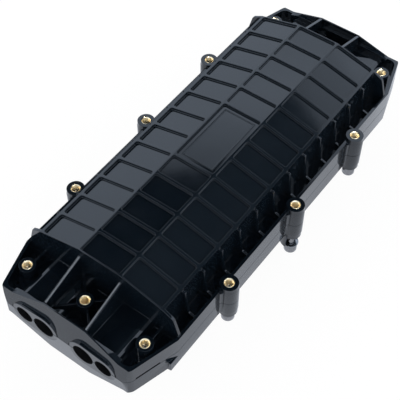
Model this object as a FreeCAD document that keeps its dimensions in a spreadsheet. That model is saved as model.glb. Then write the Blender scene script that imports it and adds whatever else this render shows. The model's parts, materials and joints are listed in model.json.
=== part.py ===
import FreeCAD, Part
import math
import os
import Sketcher

# A horizontal fibre splice closure: two ribbed plastic shells, bolted together round a
# stack of splice trays. Lengths are millimetres. +X runs along the closure, +Z is up, and
# the origin is under its middle, on the surface that it rests on.

doc = FreeCAD.newDocument("fibre_splice_closure")
Vector = FreeCAD.Vector

SIZES = [
    ("half_height", 54.5, "parting plane to the roof, and to the floor"),
    ("parting_gap", 0.4, "gap between the two shells' mating faces"),
    ("wall", 3.0, "wall of a shell"),
    # roof
    ("pocket_pitch", 26.0, "row to row of the roof's pockets, before rows fill the dome"),
    ("label_rows", 3, "rows taken up by the plain label panel"),
    ("pocket_depth", 2.6, "depth of a pocket between the ribs"),
    ("pocket_corner", 2.2, "rounding of a pocket's corners"),
    ("rib_width", 2.8, "width of a roof rib"),
    ("frame_inset", 4.0, "raised label frame from the panel's edge"),
    ("frame_width", 1.2, "width of that frame"),
    ("frame_height", 0.5, "height of that frame"),
    ("roof_flat", 44.0, "width of the roof's level middle facet"),
    ("roof_width", 132.4, "width of the roof over its three facets"),
    ("roof_drop", 11.5, "fall of a side facet from the middle to the eave"),
    # rim
    ("closure_length", 444.0, "end face to end face"),
    ("side_length", 3.0, "straight side of the rim past the dome's end"),
    ("side_width", 166.8, "width over the rim's long sides"),
    ("end_deck", 53.0, "length of an end deck, from the dome to the end face"),
    ("end_width", 137.0, "width of an end face, before its corners are rounded"),
    ("corner_radius", 10.0, "rounding of the rim's end corners"),
    ("rim_height", 18.0, "rim above or below the parting plane"),
    ("rim_wall", 3.0, "thickness of the rim"),
    ("flange", 8.0, "thickness of the mating flange"),
    ("upper_end_rise", 30.0, "middle of the upper end wall above the parting plane"),
    ("lower_end_rise", 35.0, "middle of the lower end wall below the parting plane"),
    ("upper_shoulder", 115.0, "width of the upper end wall's raised part at the rim"),
    ("lower_shoulder", 125.0, "width of the lower end wall's raised part at the rim"),
    ("end_wall", 3.5, "thickness of an end wall at its top"),
    ("upper_end_lean", 6.0, "how far the upper end wall leans in at its top"),
    ("lower_end_lean", 3.0, "how far the lower end wall leans in at its foot"),
    ("web", 2.8, "thickness of the end decks' webs and the corner braces"),
    ("web_drop", 9.5, "web below the roof where it meets the dome"),
    ("gusset", 2.2, "thickness of the ribs along the dome's sides"),
    ("gusset_reach", 3.5, "how far a side rib stands off the dome"),
    ("brace_reach", 10.0, "how far a corner brace bulges out past the eave"),
    ("brace_fall", 5.0, "its bulge below the eave"),
    # cable ports
    ("big_port", 21.0, "diameter of an inner cable port"),
    ("small_port", 17.0, "diameter of an outer cable port"),
    ("big_port_offset", 21.8, "inner port from the closure's middle"),
    ("small_port_offset", 43.3, "outer port from the closure's middle"),
    ("collar", 4.5, "collar round a pair of ports on the end face"),
    ("collar_groove", 0.9, "width and depth of the groove round a collar"),
    ("tunnel_wall", 3.0, "wall beside a port's tunnel"),
    ("tunnel_crown", 15.5, "tunnel roof above the parting plane"),
    ("tunnel_shoulder", 7.0, "rounding of a tunnel roof's outer edge"),
    ("tape_pocket", 2.5, "depth of the sealing tape's pocket round a port"),
    ("tape_length", 10.0, "length of that pocket"),
    # bosses
    ("side_boss_pitch", 103.4, "boss to boss along a long side"),
    ("side_boss_offset", 85.7, "side boss from the closure's middle"),
    ("post_radius", 9.0, "radius of a side boss's post"),
    ("post_top", 15.0, "height of that post"),
    ("post_fairing", 5.5, "widening of the post where it joins the rim"),
    ("ring_radius", 8.5, "radius of the ring on a post"),
    ("ring_chamfer", 1.0, "height of the cone between post and ring"),
    ("upper_ring_top", 21.0, "top of the upper bosses"),
    ("lower_ring_top", 21.5, "foot of the lower bosses"),
    ("corner_boss_x", 3.9, "corner boss from the end deck's middle, towards the dome"),
    ("corner_boss_y", 64.2, "corner boss from the middle, sideways"),
    ("centre_boss_x", 5.2, "end boss from the end deck's middle, towards the dome"),
    ("centre_boss_rise", 3.0, "end boss above the other bosses"),
    ("end_boss_radius", 7.5, "radius of the bosses on the end decks"),
    ("boss_rib", 2.0, "thickness of the ribs that brace the end bosses"),
    ("boss_rib_drop", 5.0, "those ribs below the boss's top"),
    # bolts and inserts
    ("bolt_radius", 2.9, "radius of a closing bolt"),
    ("bolt_clearance", 0.4, "play round a bolt in a shell"),
    ("thread_play", 0.2, "play between a bolt and an insert's thread"),
    ("bolt_tip_depth", 5.0, "bolt's tip below the insert's top"),
    ("bolt_head_radius", 6.2, "radius of a bolt's head"),
    ("bolt_head", 10.2, "height of a bolt's head"),
    ("bolt_socket", 2.9, "corner radius of the hexagon socket"),
    ("bolt_socket_depth", 5.0, "depth of the hexagon socket"),
    ("washer_radius", 7.2, "radius of a bolt's washer"),
    ("washer", 1.2, "thickness of a bolt's washer"),
    ("seat_gap", 0.1, "gap under a washer and under a head"),
    ("loose_drop", 14.0, "how far the backed-out bolt hangs below the others"),
    ("insert_radius", 4.9, "radius of a brass insert"),
    ("insert_length", 20.0, "length of a brass insert"),
    ("shroud_length", 11.5, "length of the half cup behind a middle bolt's head"),
    ("shroud_radius", 11.0, "radius of that cup"),
    ("shroud_wall", 2.3, "wall of that cup"),
    # lugs, slots and small holes
    ("lug_length", 11.0, "length of the pry lug past the rim's kink"),
    ("lug_thickness", 4.0, "thickness of a pry lug"),
    ("lug_foot", 18.0, "foot of a pry lug below the parting plane"),
    ("lug_height", 11.0, "height of a pry lug"),
    ("pry_slot", 24.0, "length of a pry slot in the rim"),
    ("pry_slot_height", 1.6, "height of a pry slot"),
    ("pry_slot_depth", 2.0, "depth of a pry slot"),
    ("tag_hole", 1.5, "radius of the blind hole in a corner deck"),
    ("tag_hole_x", 13.4, "that hole from the corner boss, towards the end"),
    ("tag_hole_y", 65.5, "that hole from the middle, sideways"),
    # seal
    ("seal_length", 6.0, "seal's centre line past the dome's end"),
    ("seal_width", 138.0, "seal's centre line across the closure"),
    ("seal_radius", 12.0, "rounding of the seal's corners, at its outside"),
    ("seal_groove", 4.4, "width of the seal's groove"),
    ("seal_depth", 3.0, "depth of the seal's groove"),
    ("seal_play", 0.2, "play round the seal in its groove"),
    # deck that carries the trays and cable anchors
    ("deck_drop", 14.0, "top of the tray base below the parting plane"),
    ("deck_width", 122.0, "width of the tray base and the anchor bars"),
    ("plate", 1.5, "thickness of the tray base and the anchor bars"),
    ("base_near", 7.0, "tray base past the hinge bracket's foot"),
    ("base_far", 23.0, "tray base past the trays' free end"),
    ("anchor_drop", 20.0, "top of the anchor bars below the parting plane"),
    ("anchor_x", 18.0, "anchor bar from the dome's end"),
    ("anchor_width", 22.0, "width of an anchor bar"),
    ("post_inset", 20.0, "tray base's screws from its ends"),
    ("base_post_y", 45.0, "tray base's screws from the middle, sideways"),
    ("anchor_post_y", 30.0, "anchor bar's screws from the middle, sideways"),
    ("inner_post", 4.5, "radius of the posts under the plates"),
    ("screw_radius", 1.5, "radius of a small screw"),
    ("screw_play", 0.1, "play round a small screw"),
    ("screw_length", 9.0, "length of a small screw under its head"),
    ("screw_head_radius", 3.2, "radius of a small screw's head"),
    ("screw_head", 2.4, "height of a small screw's head"),
    # cable clamps and earth wire
    ("clamp_length", 10.0, "length of a clamp plate"),
    ("clamp_width", 8.0, "width of a clamp plate"),
    ("clamp_plate", 1.5, "thickness of a clamp plate"),
    ("clamp_outset", 6.0, "clamp from the bar's middle, towards the port"),
    ("clamp_inner_y", 5.5, "inner clamp from the closure's middle"),
    ("clamp_outer_y", 56.5, "outer clamp from the closure's middle"),
    ("earth_y", 57.0, "earth wire from the closure's middle"),
    ("earth_wire", 1.5, "radius of the earth wire"),
    ("lug_tongue", 8.0, "length and width of an earth lug's tongue"),
    ("lug_sheet", 0.8, "thickness of that tongue"),
    ("lug_barrel", 2.2, "radius of an earth lug's barrel"),
    ("lug_barrel_length", 8.0, "length of that barrel"),
    # splice trays
    ("tray_count", 4, "splice trays in the stack"),
    ("tray_length", 190.0, "length of a tray"),
    ("tray_width", 106.0, "width of a tray"),
    ("tray_height", 10.0, "height of a tray"),
    ("tray_wall", 1.8, "wall and floor of a tray"),
    ("tray_radius", 14.0, "rounding of a tray's corners"),
    ("tray_gap", 0.2, "gap between trays"),
    ("drum_x", 58.0, "fibre drum from the tray's middle"),
    ("drum_radius", 20.0, "outer radius of a fibre drum"),
    ("drum_height", 8.0, "top of a fibre drum above the tray's underside"),
    ("tab_length", 12.0, "length of a fibre keeper tab"),
    ("tab_reach", 7.0, "reach of a fibre keeper tab"),
    ("tab_pitch", 70.0, "keeper tab to keeper tab"),
    ("holder_length", 44.0, "length of a splice holder"),
    ("holder_height", 5.5, "height of a splice holder"),
    ("holder_base", 1.6, "thickness of a splice holder's base"),
    ("holder_tooth", 1.4, "thickness of a splice holder's teeth"),
    ("holder_slot", 2.6, "width of a splice slot"),
    ("holder_slots", 6, "slots in a splice holder"),
    ("holder_y", 17.0, "splice holder from the tray's middle"),
    ("cover_sheet", 1.5, "thickness of the clear tray cover"),
    # tray hinge and hold-down stud
    ("hinge_gap", 8.0, "hinge pin from the trays' end"),
    ("hinge_width", 57.0, "hinge lug's width on a tray"),
    ("hinge_play", 0.5, "play beside a hinge lug"),
    ("hinge_lug", 6.0, "height of a hinge lug"),
    ("hinge_pin", 1.5, "radius of a hinge pin"),
    ("pin_play", 0.05, "play round a hinge pin"),
    ("bracket_sheet", 3.0, "thickness of the hinge bracket"),
    ("bracket_back", 8.0, "hinge pin to the bracket's back plate"),
    ("bracket_nose", 5.0, "bracket past the hinge pin"),
    ("bracket_foot", 10.0, "length of the bracket's foot"),
    ("bracket_rise", 2.0, "bracket above the top tray"),
    ("stud_inset", 9.0, "stud from the trays' free end"),
    ("stud_radius", 2.0, "radius of the stud"),
    ("stud_play", 0.4, "play round the stud"),
    ("stud_tail", 9.0, "stud above the tray cover"),
    ("stud_boss", 4.5, "radius of a tray's boss round the stud"),
    ("nut_radius", 5.0, "radius of the wing nut's hub"),
    ("nut_height", 6.0, "height of the wing nut's hub"),
    ("wing_span", 28.0, "span of the wing nut"),
    ("wing_height", 10.0, "height of its wings"),
    ("wing", 2.4, "thickness of its wings"),
]

size = doc.addObject("Spreadsheet::Sheet", "size")
for row, (alias, value, meaning) in enumerate(SIZES, start=1):
    size.set(f"A{row}", meaning)
    size.set(f"B{row}", str(value))
    size.setAlias(f"B{row}", alias)
doc.recompute()

OVERRUN = "size.wall"
ABOUT = {"x": Vector(1, 0, 0), "y": Vector(0, 1, 0), "z": Vector(0, 0, 1)}
PLANES = {
    "XY": FreeCAD.Rotation(),
    "YZ": FreeCAD.Rotation(Vector(1, 1, 1), 120),
    "XZ": FreeCAD.Rotation(Vector(1, 0, 0), 90),
}


# General tools: each makes one object and binds its sizes to the sheet.
def number(text):
    return float(size.evalExpression(str(text)))


def count(alias):
    return round(number(f"size.{alias}"))


def place(obj, x="0", y="0", z="0", turn=None, angle="0"):
    if turn:
        obj.Placement = FreeCAD.Placement(Vector(), FreeCAD.Rotation(ABOUT[turn], 1))
        obj.setExpression("Placement.Rotation.Angle", angle)
    for axis, text in zip("xyz", (x, y, z)):
        obj.setExpression(f"Placement.Base.{axis}", str(text))
    return obj


def box(name, length, width, height, x="0", y="0", z="0", turn=None, angle="0"):
    obj = doc.addObject("Part::Box", name)
    for prop, text in (("Length", length), ("Width", width), ("Height", height)):
        obj.setExpression(prop, text)
    return place(obj, x, y, z, turn, angle)


def centred_box(name, length, width, height, x="0", y="0", z="0"):
    return box(name, length, width, height, f"{x} - ({length}) / 2", f"{y} - ({width}) / 2", z)


def cylinder(name, radius, height, x="0", y="0", z="0", turn=None, angle="0"):
    obj = doc.addObject("Part::Cylinder", name)
    obj.setExpression("Radius", radius)
    obj.setExpression("Height", height)
    return place(obj, x, y, z, turn, angle)


def cone(name, foot, top, height, x="0", y="0", z="0"):
    obj = doc.addObject("Part::Cone", name)
    for prop, text in (("Radius1", foot), ("Radius2", top), ("Height", height)):
        obj.setExpression(prop, text)
    return place(obj, x, y, z)


def drive(sketch, kind, geometry, point, text):
    guess = number(text)
    index = sketch.addConstraint(Sketcher.Constraint(kind, -1, 1, geometry, point, guess))
    sketch.setExpression(f"Constraints[{index}]", text)


def polygon(name, plane, corners):
    """A closed sketch: each corner is (u, v) or (u, v, rounding), all bound to the sheet."""
    sketch = doc.addObject("Sketcher::SketchObject", name)
    sketch.Placement = FreeCAD.Placement(Vector(), PLANES[plane])
    points = [Vector(number(c[0]), number(c[1]), 0) for c in corners]
    starts, ends, arcs = [], [], {}
    for i, corner in enumerate(corners):
        here, before, after = points[i], points[i - 1], points[(i + 1) % len(points)]
        if len(corner) == 2:
            starts.append(here)
            ends.append(here)
            continue
        back = (before - here).normalize()
        ahead = (after - here).normalize()
        half = back.getAngle(ahead) / 2
        reach = number(corner[2]) / math.tan(half)
        centre = here + (back + ahead).normalize() * (number(corner[2]) / math.sin(half))
        ends.append(here + back * reach)
        starts.append(here + ahead * reach)
        turns_left = (here - before).cross(after - here).z > 0
        first, last = (ends[i], starts[i]) if turns_left else (starts[i], ends[i])
        angles = [math.atan2((p - centre).y, (p - centre).x) for p in (first, last)]
        circle = Part.Circle(centre, Vector(0, 0, 1), number(corner[2]))
        arcs[i] = (Part.ArcOfCircle(circle, *angles), turns_left)
    lines = []
    for i in range(len(points)):
        line = Part.LineSegment(starts[i], ends[(i + 1) % len(points)])
        lines.append(sketch.addGeometry(line, False))
    for i, corner in enumerate(corners):
        into, out = lines[i - 1], lines[i]
        if i not in arcs:
            sketch.addConstraint(Sketcher.Constraint("Coincident", into, 2, out, 1))
            drive(sketch, "DistanceX", out, 1, corner[0])
            drive(sketch, "DistanceY", out, 1, corner[1])
            continue
        curve, turns_left = arcs[i]
        arc = sketch.addGeometry(curve, False)
        vertex = sketch.addGeometry(Part.Point(points[i]), True)
        first, last = (1, 2) if turns_left else (2, 1)
        sketch.addConstraint(Sketcher.Constraint("Tangent", into, 2, arc, first))
        sketch.addConstraint(Sketcher.Constraint("Tangent", out, 1, arc, last))
        sketch.addConstraint(Sketcher.Constraint("PointOnObject", vertex, 1, into))
        sketch.addConstraint(Sketcher.Constraint("PointOnObject", vertex, 1, out))
        drive(sketch, "DistanceX", vertex, 1, corner[0])
        drive(sketch, "DistanceY", vertex, 1, corner[1])
        radius = sketch.addConstraint(Sketcher.Constraint("Radius", arc, number(corner[2])))
        sketch.setExpression(f"Constraints[{radius}]", corner[2])
    return sketch


def extrude(name, sketch, length, x="0", y="0", z="0", symmetric=False, turn=None, angle="0"):
    obj = doc.addObject("Part::Extrusion", name)
    obj.Base = sketch
    obj.DirMode = "Normal"
    obj.Solid = True
    obj.Symmetric = symmetric
    obj.setExpression("LengthFwd", length)
    return place(obj, x, y, z, turn, angle)


def prism(name, plane, corners, length, x="0", y="0", z="0", symmetric=False):
    return extrude(name, polygon(f"{name}_sketch", plane, corners), length, x, y, z, symmetric)


def fuse(name, *pieces):
    obj = doc.addObject("Part::MultiFuse", name)
    obj.Shapes = list(pieces)
    obj.Refine = True
    return obj


def cut(name, base, tool, refine=True):
    obj = doc.addObject("Part::Cut", name)
    obj.Base = base
    obj.Tool = tool
    obj.Refine = refine
    return obj


def common(name, *pieces):
    obj = doc.addObject("Part::MultiCommon", name)
    obj.Shapes = list(pieces)
    return obj


def group(name, *pieces):
    obj = doc.addObject("Part::Compound", name)
    obj.Links = list(pieces)
    return obj


def mirror(name, source, normal):
    obj = doc.addObject("Part::Mirroring", name)
    obj.Source = source
    obj.Normal = ABOUT[normal]
    return obj


def both_sides(name, piece):
    return [piece, mirror(f"{name}_other_side", piece, "y")]


def both_ends(name, pieces):
    half = pieces[0] if len(pieces) == 1 else fuse(f"{name}_one_end", *pieces)
    return [half, mirror(f"{name}_other_end", half, "x")]


# Sizes that follow from the driving ones, as expressions.
DOME_HALF = "(size.closure_length / 2 - size.end_deck)"
ROWS = round(number(f"2 * {DOME_HALF}") / number("size.pocket_pitch"))
ROW = f"(2 * {DOME_HALF} / {ROWS})"
KINK = f"({DOME_HALF} + size.side_length)"
SEAL_HALF = f"({DOME_HALF} + size.seal_length)"
END_DECK_X = f"({DOME_HALF} / 2 + size.closure_length / 4)"
CORNER_BOSS_X = f"({END_DECK_X} - size.corner_boss_x)"
CENTRE_BOSS_X = f"({END_DECK_X} - size.centre_boss_x)"
ROOF_HALF = "size.roof_width / 2"
FLAT_HALF = "size.roof_flat / 2"
EAVE = "(size.half_height - size.roof_drop)"
SLOPE = "atan2(size.roof_drop; size.roof_width / 2 - size.roof_flat / 2)"
SKIN = "(size.wall + size.pocket_depth)"
TAPER = f"atan2(size.side_width / 2 - size.end_width / 2; size.closure_length / 2 - {KINK})"
BOLT_HOLE = "size.bolt_radius + size.bolt_clearance"
DECK = "(size.half_height - size.deck_drop)"
BAR = "(size.half_height - size.anchor_drop)"
ANCHOR_X = f"({DOME_HALF} - size.anchor_x)"
TRAY_PITCH = "(size.tray_height + size.tray_gap)"
STACK_TOP = f"({DECK} + size.tray_count * {TRAY_PITCH})"
HINGE_X = "(-size.tray_length / 2 - size.hinge_gap)"
STUD_X = "(size.tray_length / 2 - size.stud_inset)"
BASE_NEAR = f"({HINGE_X} - size.bracket_back - size.bracket_foot - size.base_near)"
BASE_FAR = "(size.tray_length / 2 + size.base_far)"


def roof_at(y):
    """Height of a side facet above the parting plane, at a distance from the middle."""
    return f"(size.half_height - (({y}) - {FLAT_HALF}) * tan({SLOPE}))"


def rim_outline(inset, setback="0"):
    """The rim's plan, moved in by inset and its ends by a setback more: long sides, tapered
    ends and rounded corners."""
    end = f"size.closure_length / 2 - ({inset}) - ({setback})"
    side = f"size.side_width / 2 - ({inset})"
    kink = f"{KINK} - ({inset}) * tan({TAPER} / 2)"
    corner = (f"size.end_width / 2 - ({inset}) * (1 / cos({TAPER}) - tan({TAPER}))"
              f" + ({setback}) * tan({TAPER})")
    rounding = f"size.corner_radius - ({inset})"
    return [
        (end, f"-({corner})", rounding), (end, corner, rounding), (kink, side),
        (f"-({kink})", side), (f"-({end})", corner, rounding),
        (f"-({end})", f"-({corner})", rounding), (f"-({kink})", f"-({side})"),
        (kink, f"-({side})"),
    ]


def ring_outline(length, width, radius):
    """A rounded rectangle round the closure's middle."""
    return [(f"{sx}({length}) / 2", f"{sy}({width}) / 2", radius)
            for sx, sy in (("-", "-"), ("", "-"), ("", ""), ("-", ""))]


def trapezoid(half_top, top, half_foot, foot, base="0"):
    """A symmetrical section with a level top, sloping shoulders and upright sides."""
    return [(f"-({half_foot})", base), (half_foot, base), (half_foot, foot),
            (half_top, top), (f"-({half_top})", top), (f"-({half_foot})", foot)]


def bolt_places():
    """The twelve bolts: three on each long side and three on each end."""
    for sx, sy in (("-", ""), ("", ""), ("-", "-"), ("", "-")):
        yield f"{sx}size.side_boss_pitch", f"{sy}size.side_boss_offset", "0"
        yield f"{sx}{CORNER_BOSS_X}", f"{sy}size.corner_boss_y", "0"
    for sy in ("", "-"):
        yield "0", f"{sy}size.side_boss_offset", "0"
    for sx in ("", "-"):
        yield f"{sx}{CENTRE_BOSS_X}", "0", "size.centre_boss_rise"


# The shells. Both are made like this, the lower one then turned over. Heights here count
# from the parting plane.
def rim(name):
    """Flange, rim wall and the raised end walls, which lean in above the port collars."""
    end_rise, end_lean = f"size.{name}_end_rise", f"size.{name}_end_lean"
    block = prism(f"{name}_rim_block", "XY", rim_outline("0"), "size.rim_height")
    leaned_in = f"{end_lean} * size.rim_height / {end_rise}"
    trough = prism(f"{name}_trough", "XY", rim_outline("size.rim_wall", leaned_in),
                   f"size.rim_height - size.flange + {OVERRUN}", z="size.flange")
    section = trapezoid(FLAT_HALF, end_rise, f"size.{name}_shoulder / 2", "size.rim_height")
    end = prism(f"{name}_end_wall", "YZ", section, f"size.end_wall + {end_lean}",
                x=f"size.closure_length / 2 - size.end_wall - {end_lean}")
    lean = f"atan2({end_lean}; {end_rise})"
    outside = box(f"{name}_lean", "size.closure_length / 2", "2 * size.side_width",
                  f"2 * {end_rise}", "size.closure_length / 2", "-size.side_width", "0",
                  "y", f"-{lean}")
    inside = box(f"{name}_lean_inside", "size.closure_length / 4", "2 * size.side_width",
                 f"2 * {end_rise}",
                 "size.closure_length / 4 - size.end_wall / cos(" + lean + ")",
                 "-size.side_width", "0", "y", f"-{lean}")
    slab = cut(f"{name}_end_slab", end, inside)
    walls = both_ends(f"{name}_end_walls", [slab])
    tray = cut(f"{name}_rim_tray", block, trough)
    collars = both_sides(f"{name}_collar", collar(f"{name}_collar", "0"))
    leaning = cut(f"{name}_lean_clear", outside, fuse(f"{name}_collars", *collars))
    return [tray] + walls, both_ends(f"{name}_leans", [leaning])


def collar(name, margin):
    """The figure round one pair of ports on an end face, as a bar along X."""
    big = f"size.big_port / 2 + size.collar + {margin}"
    small = f"size.small_port / 2 + size.collar + {margin}"
    length = "size.closure_length"
    pieces = [cylinder(f"{name}_big", big, length, "0", "size.big_port_offset", "0", "y", "90"),
              cylinder(f"{name}_small", small, length, "0", "size.small_port_offset", "0",
                       "y", "90")]
    bridge = [("size.big_port_offset", f"-({big})"), ("size.small_port_offset", f"-({small})"),
              ("size.small_port_offset", small), ("size.big_port_offset", big)]
    pieces.append(prism(f"{name}_bridge", "YZ", bridge, length))
    return fuse(f"{name}_figure", *pieces)


def dome(name):
    """The three-facet dome, solid, and the cavity that hollows it."""
    solid = prism(f"{name}_dome", "YZ",
                  trapezoid(FLAT_HALF, "size.half_height", ROOF_HALF, EAVE),
                  f"2 * {DOME_HALF}", symmetric=True)
    room = trapezoid(FLAT_HALF, f"size.half_height - {SKIN}", f"{ROOF_HALF} - size.wall",
                     f"{roof_at(ROOF_HALF + ' - size.wall')} - {SKIN}", f"-{OVERRUN}")
    cavity = prism(f"{name}_cavity", "YZ", room, f"2 * ({DOME_HALF} - size.wall)",
                   symmetric=True)
    return solid, cavity


def roof_pockets(name):
    """Pockets between the roof ribs; the label panel is one long pocket."""
    label = count("label_rows")
    first_label = (ROWS - label) // 2
    flats, slopes = [], []
    length = f"({ROW} - size.rib_width)"
    label_length = f"({label} * {ROW} - size.rib_width)"
    facet = f"(({ROOF_HALF} - {FLAT_HALF}) / cos({SLOPE}))"
    flat_width = "(size.roof_flat - size.rib_width)"
    down_slope = f"({facet} / 2 - size.rib_width / 4)"
    floor = "size.half_height - size.pocket_depth"
    deep = f"size.pocket_depth + {OVERRUN}"
    flat_plan, slope_plan, label_plan = [
        polygon(f"{name}_{what}_plan", "XY", ring_outline(long, wide, "size.pocket_corner"))
        for what, long, wide in (
            ("flat_pocket", length, flat_width),
            ("slope_pocket", length, f"({facet} - 1.5 * size.rib_width)"),
            ("label", label_length, flat_width))]
    for i in range(ROWS):
        x = f"({i} - ({ROWS} - 1) / 2) * {ROW}"
        slopes.append(extrude(
            f"{name}_slope_pocket_{i}", slope_plan, deep, x,
            f"{FLAT_HALF} + {down_slope} * cos({SLOPE}) - size.pocket_depth * sin({SLOPE})",
            f"size.half_height - {down_slope} * sin({SLOPE}) - size.pocket_depth * cos({SLOPE})",
            turn="x", angle=f"-{SLOPE}"))
        if not first_label <= i < first_label + label:
            flats.append(extrude(f"{name}_flat_pocket_{i}", flat_plan, deep, x, z=floor))
    label_x = f"({first_label} + ({label} - 1) / 2 - ({ROWS} - 1) / 2) * {ROW}"
    panel = extrude(f"{name}_label", label_plan, deep, label_x, z=floor)
    frame, window = [centred_box(
        f"{name}_{what}", f"{label_length} - 2 * {inset}", f"{flat_width} - 2 * {inset}", high,
        label_x, "0", floor)
        for what, inset, high in (
            ("label_frame", "size.frame_inset", "size.frame_height"),
            ("label_window", "(size.frame_inset + size.frame_width)", deep))]
    flats.append(cut(f"{name}_label_panel", panel, cut(f"{name}_label_ring", frame, window)))
    slope = group(f"{name}_slope_pockets", *slopes)
    return [group(f"{name}_flat_pockets", *flats)] + both_sides(f"{name}_slopes", slope)


def side_ribs(name):
    """Ribs from the dome's sides to the rim at every roof rib; the end ones reach the eave."""
    inner = f"{ROOF_HALF} - size.wall / 2"
    outer = "size.side_width / 2 - size.rim_wall / 2"
    reach = f"{ROOF_HALF} + size.gusset_reach"
    low = "(size.flange + size.gusset)"
    section = polygon(f"{name}_side_rib_sketch", "YZ", [
        (inner, "size.flange / 2"), (outer, "size.flange / 2"), (outer, low),
        (f"{reach} + size.gusset", f"{low} + size.gusset_reach", "size.gusset_reach"),
        (reach, f"{EAVE} - size.rib_width"), (inner, f"{EAVE} - size.rib_width")])
    brace = polygon(f"{name}_corner_brace_sketch", "YZ", [
        (inner, "size.flange / 2"), (outer, "size.flange / 2"), (outer, "size.rim_height"),
        (f"{ROOF_HALF} + size.brace_reach", f"{EAVE} - size.brace_fall", "size.brace_fall"),
        (ROOF_HALF, EAVE), (inner, EAVE)])
    ribs = [extrude(f"{name}_corner_brace", brace, "size.web", f"{DOME_HALF} - size.web")]
    for i in range(1, ROWS // 2 + 1):
        x = f"{DOME_HALF} - {i} * {ROW} - size.gusset / 2"
        ribs.append(extrude(f"{name}_side_rib_{i}", section, "size.gusset", x))
    return ribs


def end_deck(name):
    """Tunnel roofs over one pair of ports, and the web above the inner one."""
    inner_x = f"{DOME_HALF} - size.wall"
    length = f"size.closure_length / 2 - size.end_wall - ({inner_x})"
    edge = "size.small_port_offset + size.small_port / 2 + size.tunnel_wall"
    round_over = "(size.big_port / 2 + size.tunnel_wall)"
    inner_y = f"size.big_port_offset - {round_over}"
    roof = prism(f"{name}_tunnel", "YZ", [
        (inner_y, "0"), (edge, "0"), (edge, "size.tunnel_crown", "size.tunnel_shoulder"),
        (inner_y, "size.tunnel_crown", round_over)], length, x=inner_x)
    foot = f"size.closure_length / 2 - size.{name}_end_lean - size.end_wall / 2"
    web = prism(f"{name}_web", "XZ", [
        (inner_x, "size.flange / 2"), (foot, "size.flange / 2"), (foot, f"size.{name}_end_rise"),
        (inner_x, "size.half_height - size.web_drop")], "size.web", y=FLAT_HALF, symmetric=True)
    return [roof, web]


def end_bosses(name, ring_top):
    """Corner boss and half of the middle boss on one end deck, with their ribs."""
    top = f"{ring_top} - size.boss_rib_drop"
    middle_top = f"{top} + size.centre_boss_rise"
    corner = cylinder(f"{name}_corner_boss", "size.end_boss_radius", ring_top,
                      CORNER_BOSS_X, "size.corner_boss_y")
    middle = cylinder(f"{name}_middle_boss", "size.end_boss_radius",
                      f"{ring_top} + size.centre_boss_rise", CENTRE_BOSS_X)
    reach = f"{CORNER_BOSS_X} - {DOME_HALF} + size.wall"
    brace = box(f"{name}_corner_boss_rib", reach, "size.boss_rib", top,
                f"{DOME_HALF} - size.wall", "size.corner_boss_y - size.boss_rib / 2")
    spread = f"atan2({FLAT_HALF}; {CENTRE_BOSS_X} - {DOME_HALF})"
    ribs = []
    for way, angle in (("in", f"180 deg - {spread}"), ("out", spread)):
        ribs.append(box(f"{name}_middle_boss_rib_{way}", f"{FLAT_HALF} / sin({spread})",
                        "size.boss_rib", middle_top, CENTRE_BOSS_X, "0", "0", "z", angle))
    return [corner, middle, brace] + ribs


def side_boss(name, x, ring_top):
    """One side boss: a post faired into the rim, with a narrower ring on it."""
    y = "size.side_boss_offset"
    post = cylinder(f"{name}_post", "size.post_radius", "size.post_top", x, y)
    shoulder = cone(f"{name}_cone", "size.post_radius", "size.ring_radius", "size.ring_chamfer",
                    x, y, "size.post_top")
    ring = cylinder(f"{name}_ring", "size.ring_radius", ring_top, x, y)
    wide = "size.post_radius + size.post_fairing"
    foot = "size.side_width / 2 - size.rim_wall / 2"
    fairing = prism(f"{name}_fairing", "XY", [
        (f"-({wide})", foot), (wide, foot), ("size.post_radius", y), ("-size.post_radius", y)],
        "size.post_top", x=x)
    return [post, shoulder, ring, fairing]


def ports(name):
    """Both ports of a pair, right through the end, with their sealing tape pockets."""
    pieces = []
    start = f"{DOME_HALF} - size.wall - {OVERRUN}"
    length = f"size.closure_length / 2 + {OVERRUN} - ({start})"
    for which in ("big", "small"):
        y = f"size.{which}_port_offset"
        bore = f"size.{which}_port / 2"
        pieces.append(cylinder(f"{name}_{which}_port", bore, length, start, y, "0", "y", "90"))
        pieces.append(cylinder(f"{name}_{which}_tape", f"{bore} + size.tape_pocket",
                               "size.tape_length", f"{SEAL_HALF} - size.tape_length / 2",
                               y, "0", "y", "90"))
    return pieces


def shell(name):
    """What the two shells share: the solid, its cutters, and the one that trims its foot."""
    walls, leans = rim(name)
    ring_top = f"size.{name}_ring_top"
    solid, cavity = dome(name)
    end_pieces = end_deck(name) + end_bosses(name, ring_top)
    quarter = end_pieces + side_ribs(name) + side_boss(f"{name}_side", "size.side_boss_pitch",
                                                       ring_top)
    halves = both_sides(f"{name}_quarter", fuse(f"{name}_quarter", *quarter))
    middle = fuse(f"{name}_middle_boss_post", *side_boss(f"{name}_mid", "0", ring_top))
    pieces = walls + [solid] + both_ends(f"{name}_half", halves)
    pieces += both_sides(f"{name}_middle_post", middle)
    hull = cut(f"{name}_hull", fuse(f"{name}_solid", *pieces), cavity, refine=False)
    port_halves = both_sides(f"{name}_ports", fuse(f"{name}_port_pair", *ports(name)))
    below = box(f"{name}_below", "2 * size.closure_length", "2 * size.side_width",
                "size.half_height", "-size.closure_length", "-size.side_width",
                "size.parting_gap / 2 - size.half_height")
    clear = leans + both_ends(f"{name}_port_ends", port_halves) + roof_pockets(name)
    return hull, clear, below


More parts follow.
